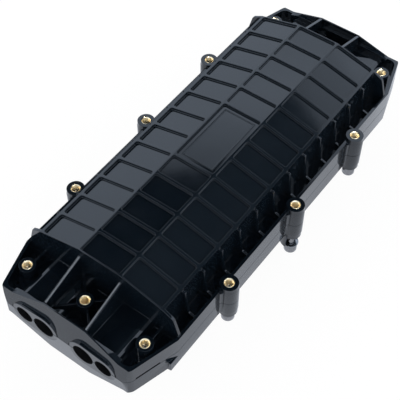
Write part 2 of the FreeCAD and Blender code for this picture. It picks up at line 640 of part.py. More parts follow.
def upper_shell():
    hull, cutters, below = shell("upper")
    grooves = cut("collar_groove", collar("groove_outside", "size.collar_groove"),
                  collar("groove_inside", "0"))
    depth = box("collar_groove_depth", "size.upper_end_lean", "size.side_width", "size.half_height",
                "size.closure_length / 2 - size.collar_groove", "0")
    fine = both_ends("collar_grooves", both_sides("collar_groove_pair",
                     common("collar_groove_cut", grooves, depth)))
    slot = box("pry_slot_cut", "size.pry_slot", "2 * size.pry_slot_depth",
               "size.pry_slot_height", "0", "-size.pry_slot_depth", "0")
    run = "size.corner_radius + size.pry_slot"
    place(slot, f"size.closure_length / 2 - ({run}) * cos({TAPER})",
          f"size.end_width / 2 + ({run}) * sin({TAPER}) - size.pry_slot_depth / cos({TAPER})",
          "size.parting_gap / 2", "z", f"-{TAPER}")
    fine += both_ends("pry_slots", both_sides("pry_slot_pair", slot))
    holes = []
    for i, (x, y, rise) in enumerate(bolt_places()):
        top = f"size.upper_ring_top + {rise}"
        holes.append(fuse(
            f"insert_seat_{i}",
            cylinder(f"insert_hole_{i}", "size.insert_radius", f"size.insert_length + {OVERRUN}",
                     x, y, f"{top} - size.insert_length"),
            cylinder(f"upper_bolt_hole_{i}", BOLT_HOLE, "size.upper_ring_top", x, y)))
    for i, (sx, sy) in enumerate((("", ""), ("-", ""), ("", "-"), ("-", "-"))):
        holes.append(cylinder(f"tag_hole_{i}", "size.tag_hole", "size.flange",
                              f"{sx}({CORNER_BOSS_X} + size.tag_hole_x)", f"{sy}size.tag_hole_y",
                              "size.flange / 2"))
    made = cut("upper_opened", hull, group("upper_cutters", *cutters, *holes), refine=False)
    made = cut("upper_grooved", made, group("upper_fine_cutters", *fine), refine=False)
    made = cut("upper_trimmed", made, below)
    made.Label = "upper_shell"
    return place(made, z="size.half_height")


def deck_posts():
    """The posts in the lower shell, as (x, side, distance sideways, drop of the plate on top)."""
    for end, way in ((BASE_NEAR, "+"), (BASE_FAR, "-")):
        for sy in ("", "-"):
            yield f"{end} {way} size.post_inset", sy, "size.base_post_y", "size.deck_drop"
    for sx in ("", "-"):
        for sy in ("", "-"):
            yield f"{sx}{ANCHOR_X}", sy, "size.anchor_post_y", "size.anchor_drop"


def lower_shell():
    hull, cutters, below = shell("lower")
    pieces, holes = [hull], []
    for i, (x, sy, out, drop) in enumerate(deck_posts()):
        floor = f"{roof_at(out)} - size.pocket_depth - size.wall / 2"
        under_plate = f"({drop} + size.plate)"
        pieces.append(cylinder(f"deck_post_{i}", "size.inner_post", f"{floor} - {under_plate}",
                               x, f"{sy}{out}", under_plate))
        holes.append(cylinder(f"deck_pilot_{i}", "size.screw_radius + size.screw_play",
                              f"size.screw_length + {OVERRUN}", x, f"{sy}{out}",
                              f"{under_plate} - {OVERRUN}"))
    lug = box("pry_lug", f"size.lug_length + {OVERRUN}", "size.lug_thickness", "size.lug_height",
              f"{KINK} - {OVERRUN}", "size.side_width / 2 - size.lug_thickness",
              "size.lug_foot - size.lug_height")
    pieces += [mirror("pry_lug_near", lug, "x"), mirror("pry_lug_far", lug, "y")]
    cup = cut("bolt_shroud_ring",
              cylinder("bolt_shroud_outside", "size.shroud_radius",
                       "size.lower_ring_top - size.post_top + size.shroud_length", "0",
                       "size.side_boss_offset", "size.post_top"),
              cylinder("bolt_shroud_inside", "size.shroud_radius - size.shroud_wall",
                       "size.shroud_length * 2", "0", "size.side_boss_offset",
                       "size.lower_ring_top"))
    keep = box("bolt_shroud_keep", "4 * size.shroud_radius", "2 * size.shroud_radius",
               "size.half_height", "-2 * size.shroud_radius",
               "size.side_boss_offset - 2 * size.shroud_radius", "0")
    pieces += both_sides("bolt_shroud", common("bolt_shroud", cup, keep))
    for i, (x, y, rise) in enumerate(bolt_places()):
        holes.append(cylinder(f"lower_bolt_hole_{i}", BOLT_HOLE, f"2 * size.half_height", x, y,
                              "-size.half_height"))
    groove = cut("seal_groove_cut", seal_prism("seal_groove_outside", "", "0"),
                 seal_prism("seal_groove_inside", "-", "0"))
    made = fuse("lower_with_posts", *pieces)
    made = cut("lower_opened", made, group("lower_cutters", *cutters, *holes), refine=False)
    made = cut("lower_grooved", made, groove, refine=False)
    made = cut("lower_trimmed", made, below)
    made.Label = "lower_shell"
    return place(made, z="size.half_height", turn="x", angle="180")


# The seal lies in the lower shell's groove, in four lengths between the port pairs.
def seal_prism(name, side, play):
    """Everything within one wall of the seal groove, down from the mating face."""
    offset = f"{side}(size.seal_groove - 2 * ({play}))"
    rounding = "size.seal_radius" if side == "" else "size.seal_radius - size.seal_groove"
    shift = f"-({play})" if side == "" else f"+ ({play})"
    outline = ring_outline(f"(2 * {SEAL_HALF} + {offset})", f"(size.seal_width + {offset})",
                           f"{rounding} {shift}")
    return prism(name, "XY", outline, "size.seal_depth - size.seal_play + size.parting_gap / 2")


def seals():
    ring = cut("seal_ring", seal_prism("seal_outside", "", "size.seal_play"),
               seal_prism("seal_inside", "-", "size.seal_play"))
    tape = "size.tape_pocket + size.seal_play"
    outer = f"size.small_port_offset + size.small_port / 2 + {tape}"
    inner = f"size.big_port_offset - size.big_port / 2 - ({tape})"
    made = []
    for label, sign in (("seal_left", ""), ("seal_right", "-")):
        reach = "size.side_width / 2"
        start = outer if sign == "" else f"-({reach}) - ({outer})"
        side = box(f"{label}_room", "size.closure_length", reach, "size.flange",
                   "-size.closure_length / 2", start)
        strip = common(f"{label}_strip", ring, side)
        strip.Label = label
        made.append(place(strip, z=f"size.half_height - size.seal_depth"))
    between = centred_box("end_seal_room", "size.closure_length", f"2 * ({inner})", "size.flange")
    ends = common("end_seal_strips", ring, between)
    ends.Label = "end_seals"
    made.append(place(ends, z="size.half_height - size.seal_depth"))
    return made


# Bolts, washers and brass inserts, one set for each of the twelve bosses. One bolt, on the
# right side, is shown backed out.
def fastenings():
    bolts, washers, inserts, loose = [], [], [], []
    foot = "(size.half_height - size.lower_ring_top)"
    for i, (x, y, rise) in enumerate(bolt_places()):
        backed_out = (x, y) == ("0", "-size.side_boss_offset")
        drop = "size.loose_drop" if backed_out else "0"
        under = f"({foot} - {drop} - ({rise}))"
        top = f"(size.half_height + size.upper_ring_top + {rise})"
        tip = f"{top} - size.bolt_tip_depth - {drop}"
        head_top = f"({under} - size.washer - 2 * size.seat_gap)"
        shank = cylinder(f"bolt_shank_{i}", "size.bolt_radius", f"{tip} - {head_top}", x, y,
                         head_top)
        head = cylinder(f"bolt_head_{i}", "size.bolt_head_radius", "size.bolt_head", x, y,
                        f"{head_top} - size.bolt_head")
        socket = doc.addObject("Part::Prism", f"bolt_socket_{i}")
        socket.Polygon = 6
        socket.setExpression("Circumradius", "size.bolt_socket")
        socket.setExpression("Height", f"size.bolt_socket_depth + {OVERRUN}")
        place(socket, x, y, f"{head_top} - size.bolt_head - {OVERRUN}")
        bolt = cut(f"bolt_{i}", fuse(f"bolt_blank_{i}", shank, head), socket)
        washer_z = f"{under} - size.washer - size.seat_gap"
        washer = cut(
            f"washer_{i}",
            cylinder(f"washer_disc_{i}", "size.washer_radius", "size.washer", x, y, washer_z),
            cylinder(f"washer_hole_{i}", BOLT_HOLE, "2 * size.washer", x, y,
                     f"{washer_z} - size.washer / 2"))
        if backed_out:
            loose = [bolt, washer]
        else:
            bolts.append(bolt)
            washers.append(washer)
        inserts.append(cut(
            f"insert_{i}",
            cylinder(f"insert_barrel_{i}", "size.insert_radius", "size.insert_length", x, y,
                     f"{top} - size.insert_length"),
            cylinder(f"insert_bore_{i}", "size.bolt_radius + size.thread_play",
                     "2 * size.insert_length", x, y, f"{top} - 1.5 * size.insert_length")))
    loose[0].Label, loose[1].Label = "loose_bolt", "loose_washer"
    return [group("closing_bolts", *bolts), group("bolt_washers", *washers),
            group("brass_inserts", *inserts)] + loose


# Small screws: a pan head on top of a plate, and a shank down through it.
def screw(name, x, y, seat):
    shank = cylinder(f"{name}_shank", "size.screw_radius", "size.screw_length", x, y,
                     f"{seat} - size.screw_length")
    head = cylinder(f"{name}_head", "size.screw_head_radius", "size.screw_head", x, y, seat)
    return fuse(name, shank, head)


def screw_hole(name, x, y, level=DECK):
    """A hole for a small screw through whatever lies at a level."""
    return cylinder(name, "size.screw_radius + size.screw_play", "size.tray_height", x, y,
                    f"{level} - size.tray_height / 2")


def tray_base():
    """The steel plate that the trays stand on, screwed to four posts."""
    foot_x, foot_y = bracket_screws()
    plate = box("tray_base_plate", f"{BASE_FAR} - {BASE_NEAR}", "size.deck_width",
                "size.plate", BASE_NEAR, "-size.deck_width / 2", f"{DECK} - size.plate")
    holes = [cylinder("stud_hole", "size.stud_radius + size.stud_play", "2 * size.half_height",
                      STUD_X)]
    screws = []
    for i, (x, sy, out, drop) in enumerate(list(deck_posts())[:4]):
        holes.append(screw_hole(f"tray_base_hole_{i}", x, f"{sy}{out}"))
        screws.append(screw(f"tray_base_screw_{i}", x, f"{sy}{out}", DECK))
    for i, sign in enumerate(("", "-")):
        holes.append(screw_hole(f"hinge_plate_hole_{i}", foot_x, f"{sign}{foot_y}"))
    base = cut("tray_base", plate, group("tray_base_holes", *holes))
    return [base, group("tray_base_screws", *screws)]


def bracket_screws():
    return f"{HINGE_X} - size.bracket_back - size.bracket_foot / 2", "size.hinge_width / 4"


def tray_hinge():
    """The bracket that carries the trays' hinge pins, its screws and the pins."""
    rise = f"size.tray_count * {TRAY_PITCH} + size.bracket_rise"
    inside = "size.hinge_width + 2 * size.hinge_play"
    width = f"({inside} + 2 * size.bracket_sheet)"
    back_x = f"{HINGE_X} - size.bracket_back"
    depth = "size.bracket_back + size.bracket_nose"
    back = centred_box("bracket_back_plate", "size.bracket_sheet", width, rise,
                       f"{back_x} + size.bracket_sheet / 2", "0", DECK)
    foot = centred_box("bracket_foot_plate", "size.bracket_foot + size.bracket_sheet", width,
                       "size.bracket_sheet",
                       f"{back_x} - size.bracket_foot / 2 + size.bracket_sheet / 2", "0", DECK)
    cheeks = [box(f"bracket_cheek_{side}", depth, "size.bracket_sheet", rise, back_x, y, DECK)
              for side, y in (("left", f"({inside}) / 2"), ("right", f"-{width} / 2"))]
    x, y = bracket_screws()
    holes, pins, screws = [], [], []
    for i in range(count("tray_count")):
        z = f"{DECK} + {i} * {TRAY_PITCH} + size.tray_gap + size.tray_height / 2"
        holes.append(cylinder(f"bracket_pin_hole_{i}", "size.hinge_pin + size.pin_play",
                              "2 * size.tray_width", HINGE_X, "size.tray_width", z, "x", "90"))
        pins.append(cylinder(f"hinge_pin_{i}", "size.hinge_pin", f"{width} + size.bracket_sheet",
                             HINGE_X, f"({width} + size.bracket_sheet) / 2", z, "x", "90"))
    for i, sign in enumerate(("", "-")):
        holes.append(screw_hole(f"bracket_hole_{i}", x, f"{sign}{y}"))
        screws.append(screw(f"hinge_screw_{i}", x, f"{sign}{y}",
                            f"{DECK} + size.bracket_sheet"))
    bracket = cut("hinge_bracket", fuse("hinge_bracket_blank", back, foot, *cheeks),
                  group("hinge_bracket_holes", *holes))
    return [bracket, group("hinge_screws", *screws), group("hinge_pins", *pins)]


def splice_tray(i):
    """One tray: a shallow dish with fibre drums, keeper tabs, a stud boss and a hinge lug."""
    name = f"splice_tray_{i + 1}"
    z = f"({DECK} + {i} * {TRAY_PITCH} + size.tray_gap)"
    dish = prism(f"{name}_dish", "XY",
                 ring_outline("size.tray_length", "size.tray_width", "size.tray_radius"),
                 "size.tray_height", z=z)
    room = prism(f"{name}_room", "XY",
                 ring_outline("(size.tray_length - 2 * size.tray_wall)",
                              "(size.tray_width - 2 * size.tray_wall)",
                              "size.tray_radius - size.tray_wall"),
                 "size.tray_height", z=f"{z} + size.tray_wall")
    pieces = [cut(f"{name}_shell", dish, room)]
    for side, sign in (("near", "-"), ("far", "")):
        x = f"{sign}size.drum_x"
        pieces.append(cut(
            f"{name}_drum_{side}",
            cylinder(f"{name}_drum_{side}_wall", "size.drum_radius", "size.drum_height", x,
                     "0", z),
            cylinder(f"{name}_drum_{side}_room", "size.drum_radius - size.tray_wall",
                     "size.tray_height", x, "0", f"{z} + size.tray_wall")))
    for k, sign in enumerate(("", "-")):
        for j in (-1, 0, 1):
            y = f"{sign}(size.tray_width / 2 - size.tray_wall / 2 - size.tab_reach / 2)"
            pieces.append(centred_box(
                f"{name}_tab_{k}_{j + 1}", "size.tab_length", "size.tab_reach + size.tray_wall",
                "size.tray_wall / 2", f"{j} * size.tab_pitch", y,
                f"{z} + size.tray_height - size.tray_wall / 2"))
    pieces.append(cylinder(f"{name}_stud_boss", "size.stud_boss", "size.drum_height", STUD_X,
                           "0", z))
    reach = "size.hinge_gap + 2 * size.hinge_pin"
    pieces.append(box(f"{name}_lug", f"{reach} + size.tray_wall / 2", "size.hinge_width",
                      "size.hinge_lug", f"-size.tray_length / 2 - ({reach})",
                      "-size.hinge_width / 2",
                      f"{z} + size.tray_height / 2 - size.hinge_lug / 2"))
    holes = [cylinder(f"{name}_stud_hole", "size.stud_radius + size.stud_play",
                      "2 * size.tray_height", STUD_X, "0", f"{z} - size.tray_height / 2"),
             cylinder(f"{name}_pin_hole", "size.hinge_pin + size.pin_play",
                      "2 * size.tray_width", HINGE_X, "size.tray_width",
                      f"{z} + size.tray_height / 2", "x", "90")]
    made = cut(f"{name}_made", fuse(f"{name}_blank", *pieces), group(f"{name}_holes", *holes))
    made.Label = name
    return made


def splice_holders():
    """Combs that grip the splice sleeves, two to a tray."""
    pitch = "(size.holder_tooth + size.holder_slot)"
    slots = count("holder_slots")
    start = f"(-(size.holder_slots * {pitch} + size.holder_tooth) / 2)"
    comb = [(start, "0"), (f"-{start}", "0"), (f"-{start}", "size.holder_height")]
    for k in range(slots, 0, -1):
        right = f"({start} + {k} * {pitch})"
        left = f"({right} - size.holder_slot)"
        comb += [(right, "size.holder_height"), (right, "size.holder_base"),
                 (left, "size.holder_base"), (left, "size.holder_height")]
    comb.append((start, "size.holder_height"))
    section = polygon("splice_holder_sketch", "YZ", comb)
    made = []
    for i in range(count("tray_count")):
        z = f"{DECK} + {i} * {TRAY_PITCH} + size.tray_gap + size.tray_wall"
        for side, sign in (("left", ""), ("right", "-")):
            made.append(extrude(f"splice_holder_{i}_{side}", section, "size.holder_length",
                                y=f"{sign}size.holder_y", z=z, symmetric=True))
    return group("splice_holders", *made)


def hold_down():
    """The clear cover on the top tray, and the stud and wing nut that clamp the stack."""
    cover_z = f"({STACK_TOP} + size.tray_gap)"
    sheet = prism("tray_cover_sheet", "XY",
                  ring_outline("size.tray_length", "size.tray_width", "size.tray_radius"),
                  "size.cover_sheet", z=cover_z)
    cover = cut("tray_cover", sheet,
                cylinder("tray_cover_hole", "size.stud_radius + size.stud_play",
                         "2 * size.half_height", STUD_X))
    nut_z = f"({cover_z} + size.cover_sheet)"
    head_z = f"({DECK} - size.plate - size.screw_head)"
    stud = fuse("tray_stud",
                cylinder("tray_stud_head", "size.stud_boss", "size.screw_head", STUD_X, "0",
                         head_z),
                cylinder("tray_stud_shank", "size.stud_radius",
                         f"{nut_z} + size.stud_tail - {head_z}", STUD_X, "0", head_z))
    hub = cylinder("wing_nut_hub", "size.nut_radius", "size.nut_height", STUD_X, "0", nut_z)
    wings = prism("wing_nut_wings", "YZ", [
        ("-size.nut_radius", "0"), ("size.nut_radius", "0"), ("size.wing_span / 2", "size.nut_height"),
        ("size.wing_span / 2", "size.wing_height"), ("size.nut_radius", "size.nut_height"),
        ("-size.nut_radius", "size.nut_height"), ("-size.wing_span / 2", "size.wing_height"),
        ("-size.wing_span / 2", "size.nut_height")],
        "size.wing", x=STUD_X, z=nut_z, symmetric=True)
    nut = cut("wing_nut", fuse("wing_nut_blank", hub, wings),
              cylinder("wing_nut_bore", "size.stud_radius + size.screw_play",
                       "2 * size.wing_height", STUD_X, "0", f"{nut_z} - size.wing_height / 2"))
    return [cover, stud, nut]


# Cable anchors: a steel bar at each end with clamps beside the ports, joined by an earth wire.
def anchors():
    bars, bar_screws, plates, clamp_screws = [], [], [], []
    for end, sign in (("near", "-"), ("far", "")):
        bar = centred_box(f"anchor_bar_{end}_blank", "size.anchor_width", "size.deck_width",
                          "size.plate", f"{sign}{ANCHOR_X}", "0", f"{BAR} - size.plate")
        holes = []
        for side, sy in (("left", ""), ("right", "-")):
            x, y = f"{sign}{ANCHOR_X}", f"{sy}size.anchor_post_y"
            holes.append(screw_hole(f"anchor_hole_{end}_{side}", x, y, BAR))
            bar_screws.append(screw(f"anchor_screw_{end}_{side}", x, y, BAR))
            for which in ("inner", "outer"):
                x = f"{sign}({ANCHOR_X} + size.clamp_outset)"
                y = f"{sy}size.clamp_{which}_y"
                tag = f"{end}_{side}_{which}"
                holes.append(screw_hole(f"clamp_hole_{tag}", x, y, BAR))
                plates.append(cut(
                    f"clamp_plate_{tag}",
                    centred_box(f"clamp_plate_blank_{tag}", "size.clamp_length",
                                "size.clamp_width", "size.clamp_plate", x, y, BAR),
                    screw_hole(f"clamp_plate_hole_{tag}", x, y, BAR)))
                clamp_screws.append(screw(f"clamp_screw_{tag}", x, y,
                                          f"{BAR} + size.clamp_plate"))
        holes.append(screw_hole(f"earth_hole_{end}", *earth_screw(sign), BAR))
        made = cut(f"anchor_bar_{end}_made", bar, group(f"anchor_bar_{end}_holes", *holes))
        made.Label = f"anchor_bar_{end}"
        bars.append(made)
    return bars + [group("anchor_screws", *bar_screws), group("clamp_plates", *plates),
                   group("clamp_screws", *clamp_screws)]


def earth_screw(sign):
    return f"{sign}({ANCHOR_X} - size.clamp_outset)", "-size.earth_y"


def earth():
    """A ring lug screwed under each anchor bar, and the wire crimped between them."""
    lugs, screws = [], []
    under_bar = f"({BAR} - size.plate)"
    axis_z = f"({under_bar} - size.lug_barrel)"
    barrel_x = f"({ANCHOR_X} - size.clamp_outset - size.lug_tongue / 2)"
    wire_half = f"({barrel_x} - size.lug_barrel_length / 2)"
    for end, sign, turn in (("near", "-", "90"), ("far", "", "-90")):
        x, y = earth_screw(sign)
        tongue = centred_box(f"lug_tongue_{end}", "size.lug_tongue", "size.lug_tongue",
                             "size.lug_sheet", x, y, f"{under_bar} - size.lug_sheet")
        barrel = cylinder(f"lug_barrel_{end}", "size.lug_barrel", "size.lug_barrel_length",
                          f"{sign}{barrel_x}", y, axis_z, "y", turn)
        crimp = cylinder(f"lug_crimp_{end}", "size.earth_wire + size.screw_play",
                         "size.lug_barrel_length", f"{sign}{wire_half}", y, axis_z, "y", turn)
        eye = screw_hole(f"lug_eye_{end}", x, y, BAR)
        lugs.append(cut(f"earth_lug_{end}", fuse(f"earth_lug_blank_{end}", tongue, barrel),
                        group(f"earth_lug_holes_{end}", crimp, eye)))
        screws.append(screw(f"earth_screw_{end}", x, y, BAR))
    wire = cylinder("earth_wire", "size.earth_wire", f"2 * {wire_half}", f"-{wire_half}",
                    "-size.earth_y", axis_z, "y", "90")
    return [wire, group("earth_lugs", *lugs), group("earth_screws", *screws)]


nodes = [lower_shell(), upper_shell()]
nodes += seals()
nodes += fastenings()
nodes += tray_base()
nodes += tray_hinge()
nodes += [splice_tray(i) for i in range(count("tray_count"))]
nodes += [splice_holders()]
nodes += hold_down()
nodes += anchors()
nodes += earth()
doc.recompute()

faults = [obj.Label for obj in doc.Objects if {"Invalid", "Error"} & set(obj.State)]
faults += [obj.Label for obj in nodes if obj.Shape.isNull() or not obj.Shape.isValid()]
if faults:
    raise RuntimeError(f"these objects failed: {faults}")

os.makedirs("parts", exist_ok=True)
for obj in nodes:
    obj.Shape.exportStep(f"parts/{obj.Label}.step")
    print(obj.Label, len(obj.Shape.Solids), round(obj.Shape.Volume / 1000, 2))
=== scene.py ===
import json
import math

import bpy
import mathutils
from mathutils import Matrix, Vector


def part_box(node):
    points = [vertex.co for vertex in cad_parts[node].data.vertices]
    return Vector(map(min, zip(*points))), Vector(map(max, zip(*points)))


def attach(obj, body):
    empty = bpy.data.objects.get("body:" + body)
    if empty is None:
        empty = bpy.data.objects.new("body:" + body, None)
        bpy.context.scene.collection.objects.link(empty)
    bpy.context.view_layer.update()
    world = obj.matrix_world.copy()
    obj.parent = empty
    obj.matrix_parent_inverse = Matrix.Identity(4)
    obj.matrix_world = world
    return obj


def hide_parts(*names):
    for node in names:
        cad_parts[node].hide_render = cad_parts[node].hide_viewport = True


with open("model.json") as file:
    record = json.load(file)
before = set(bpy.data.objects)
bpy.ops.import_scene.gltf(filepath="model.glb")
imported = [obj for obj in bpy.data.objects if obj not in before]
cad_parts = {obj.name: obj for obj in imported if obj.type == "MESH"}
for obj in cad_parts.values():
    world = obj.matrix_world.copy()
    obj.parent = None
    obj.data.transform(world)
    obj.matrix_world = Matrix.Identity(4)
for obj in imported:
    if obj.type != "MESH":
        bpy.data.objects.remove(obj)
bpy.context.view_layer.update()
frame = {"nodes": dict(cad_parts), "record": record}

# Lower shell: the bottom half of the closure, with the posts, cable ports and bolt bosses.
# It is injection moulded in black polypropylene: polished outside and satin inside, with
# rounded ribs, and every other edge has the small rounding that the mould leaves.
ROOF_FLAT_HALF = 0.022
ROOF_HALF = 0.0662
ROOF_FALL = 0.0115
SKIN_DEPTH = 0.0045
ROOM_HALF_LENGTH = 0.1665
ROOM_HALF_WIDTH = 0.0635
RIB_EDGE = 0.0004
PORTS = [mount for mount in frame["record"]["mounts"] if mount["kind"] == "clamp"]
PORT_INNER_END = 0.160
PORT_FACING = 0.3
TAPE_POCKET = 0.0030
MOULD_ROUNDING = 0.00015
ROUNDED_FROM = math.radians(40)
WELD = 0.000002
SLIVER = 0.0003
STRAY = 0.00005
BENT_FROM = math.radians(4)
FLAT_WITHIN = math.radians(2)
SMOOTH_BELOW = math.radians(50)
PEEL_SHARE = 0.02
SINK_DEPTH = 0.0001
BLACK_PLASTIC = (0.0085, 0.0095, 0.0115, 1)
RUBBED_PLASTIC = (0.0150, 0.0160, 0.0185, 1)
# Port bores: near black and darker than the shells, as painted shade deep in the cable ports.
PORT_SHADE_BLACK = (0.003, 0.003, 0.0035, 1)
POLISHED_BLACK = (0.0038, 0.0072, 0.0115, 1)
HAZED_BLACK = (0.0062, 0.0100, 0.0150, 1)
PLASTIC_IOR = 1.6


def deselect():
    if bpy.context.mode != "OBJECT":
        bpy.ops.object.mode_set(mode="OBJECT")
    bpy.ops.object.select_all(action="DESELECT")


def pick(piece):
    deselect()
    piece.select_set(True)
    bpy.context.view_layer.objects.active = piece


def merged_copy(node, name):
    """A copy of a CAD node whose loose triangles are welded into one skin."""
    piece = bpy.data.objects.new(name, frame["nodes"][node].data.copy())
    bpy.context.collection.objects.link(piece)
    piece.data.materials.clear()
    pick(piece)
    bpy.ops.object.mode_set(mode="EDIT")
    bpy.ops.mesh.select_all(action="SELECT")
    bpy.ops.mesh.remove_doubles(threshold=WELD)
    bpy.ops.mesh.customdata_custom_splitnormals_clear()
    bpy.ops.object.mode_set(mode="OBJECT")
    return piece


def add_node(tree, kind, **values):
    """A shader node with its settings, and its sockets by name with spaces as underscores."""
    made = tree.nodes.new(kind)
    for key, value in values.items():
        if hasattr(made, key):
            setattr(made, key, value)
        else:
            made.inputs[key.replace("_", " ")].default_value = value
    return made


def node_group(name, inputs, outputs):
    """An empty shader group; its sockets are given as name: (type, value)."""
    tree = bpy.data.node_groups.new(name, "ShaderNodeTree")
    for socket, (kind, value) in inputs.items():
        made = tree.interface.new_socket(socket, in_out="INPUT", socket_type=kind)
        made.default_value = value
    for socket, kind in outputs.items():
        tree.interface.new_socket(socket, in_out="OUTPUT", socket_type=kind)
    return tree, tree.nodes.new("NodeGroupInput"), tree.nodes.new("NodeGroupOutput")


def use_group(tree, group, **values):
    made = add_node(tree, "ShaderNodeGroup", node_tree=group)
    for key, value in values.items():
        made.inputs[key.replace("_", " ")].default_value = value
    return made


def new_material(name, **values):
    """A material with one Principled shader, whose plain values are set on its own sockets."""
    made = bpy.data.materials.new(name)
    made.use_nodes = True
    shader = made.node_tree.nodes["Principled BSDF"]
    for key, value in values.items():
        shader.inputs[key.replace("_", " ")].default_value = value
    return made, made.node_tree, shader


def skin_into(tree, shader, skin):
    tree.links.new(skin.outputs["Colour"], shader.inputs["Base Color"])
    tree.links.new(skin.outputs["Roughness"], shader.inputs["Roughness"])


def bump_into(tree, shader, height, depth):
    bump = add_node(tree, "ShaderNodeBump", Strength=1.0, Distance=depth)
    tree.links.new(height, bump.inputs["Height"])
    tree.links.new(bump.outputs["Normal"], shader.inputs["Normal"])


def make_moulded_skin():
    """Moulded plastic: a fine grain, cloudy patches of haze and a few long rub marks."""
    tree, given, result = node_group("moulded_skin", {
        "Colour": ("NodeSocketColor", BLACK_PLASTIC),
        "Haze Colour": ("NodeSocketColor", RUBBED_PLASTIC),
        "Smooth": ("NodeSocketFloat", 0.35),
        "Rough": ("NodeSocketFloat", 0.5),
        "Grain Scale": ("NodeSocketFloat", 2400.0),
        "Cloud Scale": ("NodeSocketFloat", 32.0),
    }, {"Colour": "NodeSocketColor", "Roughness": "NodeSocketFloat", "Height": "NodeSocketFloat"})
    links = tree.links
    place = add_node(tree, "ShaderNodeTexCoord").outputs["Object"]
    grain = add_node(tree, "ShaderNodeTexNoise", Detail=3.0, Roughness=0.55)
    clouds = add_node(tree, "ShaderNodeTexNoise", Detail=4.0, Roughness=0.6, Distortion=0.4)
    long_way = add_node(tree, "ShaderNodeMapping", Scale=(18.0, 900.0, 900.0))
    rubs = add_node(tree, "ShaderNodeTexNoise", Scale=1.0, Detail=1.0)
    rub_mask = add_node(tree, "ShaderNodeMapRange", From_Min=0.66, From_Max=0.74)
    haze = add_node(tree, "ShaderNodeMapRange", From_Min=0.42, From_Max=0.68)
    worn = add_node(tree, "ShaderNodeMath", operation="MAXIMUM")
    colour = add_node(tree, "ShaderNodeMix", data_type="RGBA")
    gloss = add_node(tree, "ShaderNodeMapRange")
    for texture in (grain, clouds):
        links.new(place, texture.inputs["Vector"])
    links.new(place, long_way.inputs["Vector"])
    links.new(long_way.outputs["Vector"], rubs.inputs["Vector"])
    links.new(given.outputs["Grain Scale"], grain.inputs["Scale"])
    links.new(given.outputs["Cloud Scale"], clouds.inputs["Scale"])
    links.new(rubs.outputs["Fac"], rub_mask.inputs["Value"])
    links.new(clouds.outputs["Fac"], haze.inputs["Value"])
    links.new(rub_mask.outputs["Result"], worn.inputs[0])
    links.new(haze.outputs["Result"], worn.inputs[1])
    links.new(worn.outputs["Value"], colour.inputs["Factor"])
    links.new(given.outputs["Colour"], colour.inputs["A"])
    links.new(given.outputs["Haze Colour"], colour.inputs["B"])
    links.new(clouds.outputs["Fac"], gloss.inputs["Value"])
    links.new(given.outputs["Smooth"], gloss.inputs["To Min"])
    links.new(given.outputs["Rough"], gloss.inputs["To Max"])
    links.new(colour.outputs["Result"], result.inputs["Colour"])
    links.new(gloss.outputs["Result"], result.inputs["Roughness"])
    links.new(grain.outputs["Fac"], result.inputs["Height"])
    return tree


moulded_skin = make_moulded_skin()


def moulded_plastic(name, colour, haze, smooth, rough, grain, depth, ior):
    """A plastic on the moulded skin; depth is the height of its grain."""
    made, tree, shader = new_material(name, IOR=ior)
    skin = use_group(tree, moulded_skin, Colour=colour, Haze_Colour=haze, Smooth=smooth,
                     Rough=rough, Grain_Scale=grain)
    skin_into(tree, shader, skin)
    bump_into(tree, shader, skin.outputs["Height"], depth)
    return made


def make_sink_waves():
    """The slow hollows that a moulding's thick ribs draw into the skin between them."""
    tree, given, result = node_group("sink_waves", {
        "Wave Scale": ("NodeSocketFloat", 24.0),
        "Peel Scale": ("NodeSocketFloat", 420.0),
    }, {"Height": "NodeSocketFloat"})
    place = add_node(tree, "ShaderNodeTexCoord").outputs["Object"]
    waves = add_node(tree, "ShaderNodeTexNoise", Detail=1.0, Roughness=0.4)
    peel = add_node(tree, "ShaderNodeTexNoise", Detail=1.0, Roughness=0.4)
    both = add_node(tree, "ShaderNodeMath", operation="MULTIPLY_ADD")
    both.inputs[1].default_value = PEEL_SHARE
    tree.links.new(place, waves.inputs["Vector"])
    tree.links.new(place, peel.inputs["Vector"])
    tree.links.new(given.outputs["Wave Scale"], waves.inputs["Scale"])
    tree.links.new(given.outputs["Peel Scale"], peel.inputs["Scale"])
    tree.links.new(peel.outputs["Fac"], both.inputs[0])
    tree.links.new(waves.outputs["Fac"], both.inputs[2])
    tree.links.new(both.outputs["Value"], result.inputs["Height"])
    return tree


sink_waves = make_sink_waves()


def polished_plastic():
    """The shells' glossy outside, with the slow hollows of the moulding."""
    made, tree, shader = new_material("polished_black_plastic", IOR=PLASTIC_IOR)
    skin = use_group(tree, moulded_skin, Colour=POLISHED_BLACK, Haze_Colour=HAZED_BLACK,
                     Smooth=0.03, Rough=0.09)
    hollows = use_group(tree, sink_waves)
    skin_into(tree, shader, skin)
    bump_into(tree, shader, hollows.outputs["Height"], SINK_DEPTH)
    return made


satin_shell = moulded_plastic("satin_black_plastic", BLACK_PLASTIC, RUBBED_PLASTIC, smooth=0.36,
                              rough=0.48, grain=2400.0, depth=0.00002, ior=PLASTIC_IOR)
polished_shell = polished_plastic()
# The port bores are painted darker and duller than the shell, as painted shade deep in the cable
# ports.
port_painted_shade = moulded_plastic("port_painted_shade", PORT_SHADE_BLACK, PORT_SHADE_BLACK, smooth=0.7, rough=0.9,
                              grain=900.0, depth=0.00003, ior=1.3)


def in_port(face):
    """True on the bores of the cable ports and the sealing tape's pockets."""
    spot, facing = face.center, face.normal
    if abs(spot.x) < PORT_INNER_END:
        return False
    for port in PORTS:
        across = spot.y - port["pos_m"][1]
        up = spot.z - port["pos_m"][2]
        away = math.hypot(across, up)
        inward = -(facing.y * across + facing.z * up)
        radius = port["dims"]["r_mm"] / 1000
        if away < radius + TAPE_POCKET and inward > PORT_FACING * away:
            return True
    return False


def roof_depth(spot, crown, way):
    """How far a spot lies under the ribbed roof; way is +1 for a roof and -1 for a floor."""
    beside = max(abs(spot.y) - ROOF_FLAT_HALF, 0)
    roof = crown - way * beside * ROOF_FALL / (ROOF_HALF - ROOF_FLAT_HALF)
    return way * (roof - spot.z)


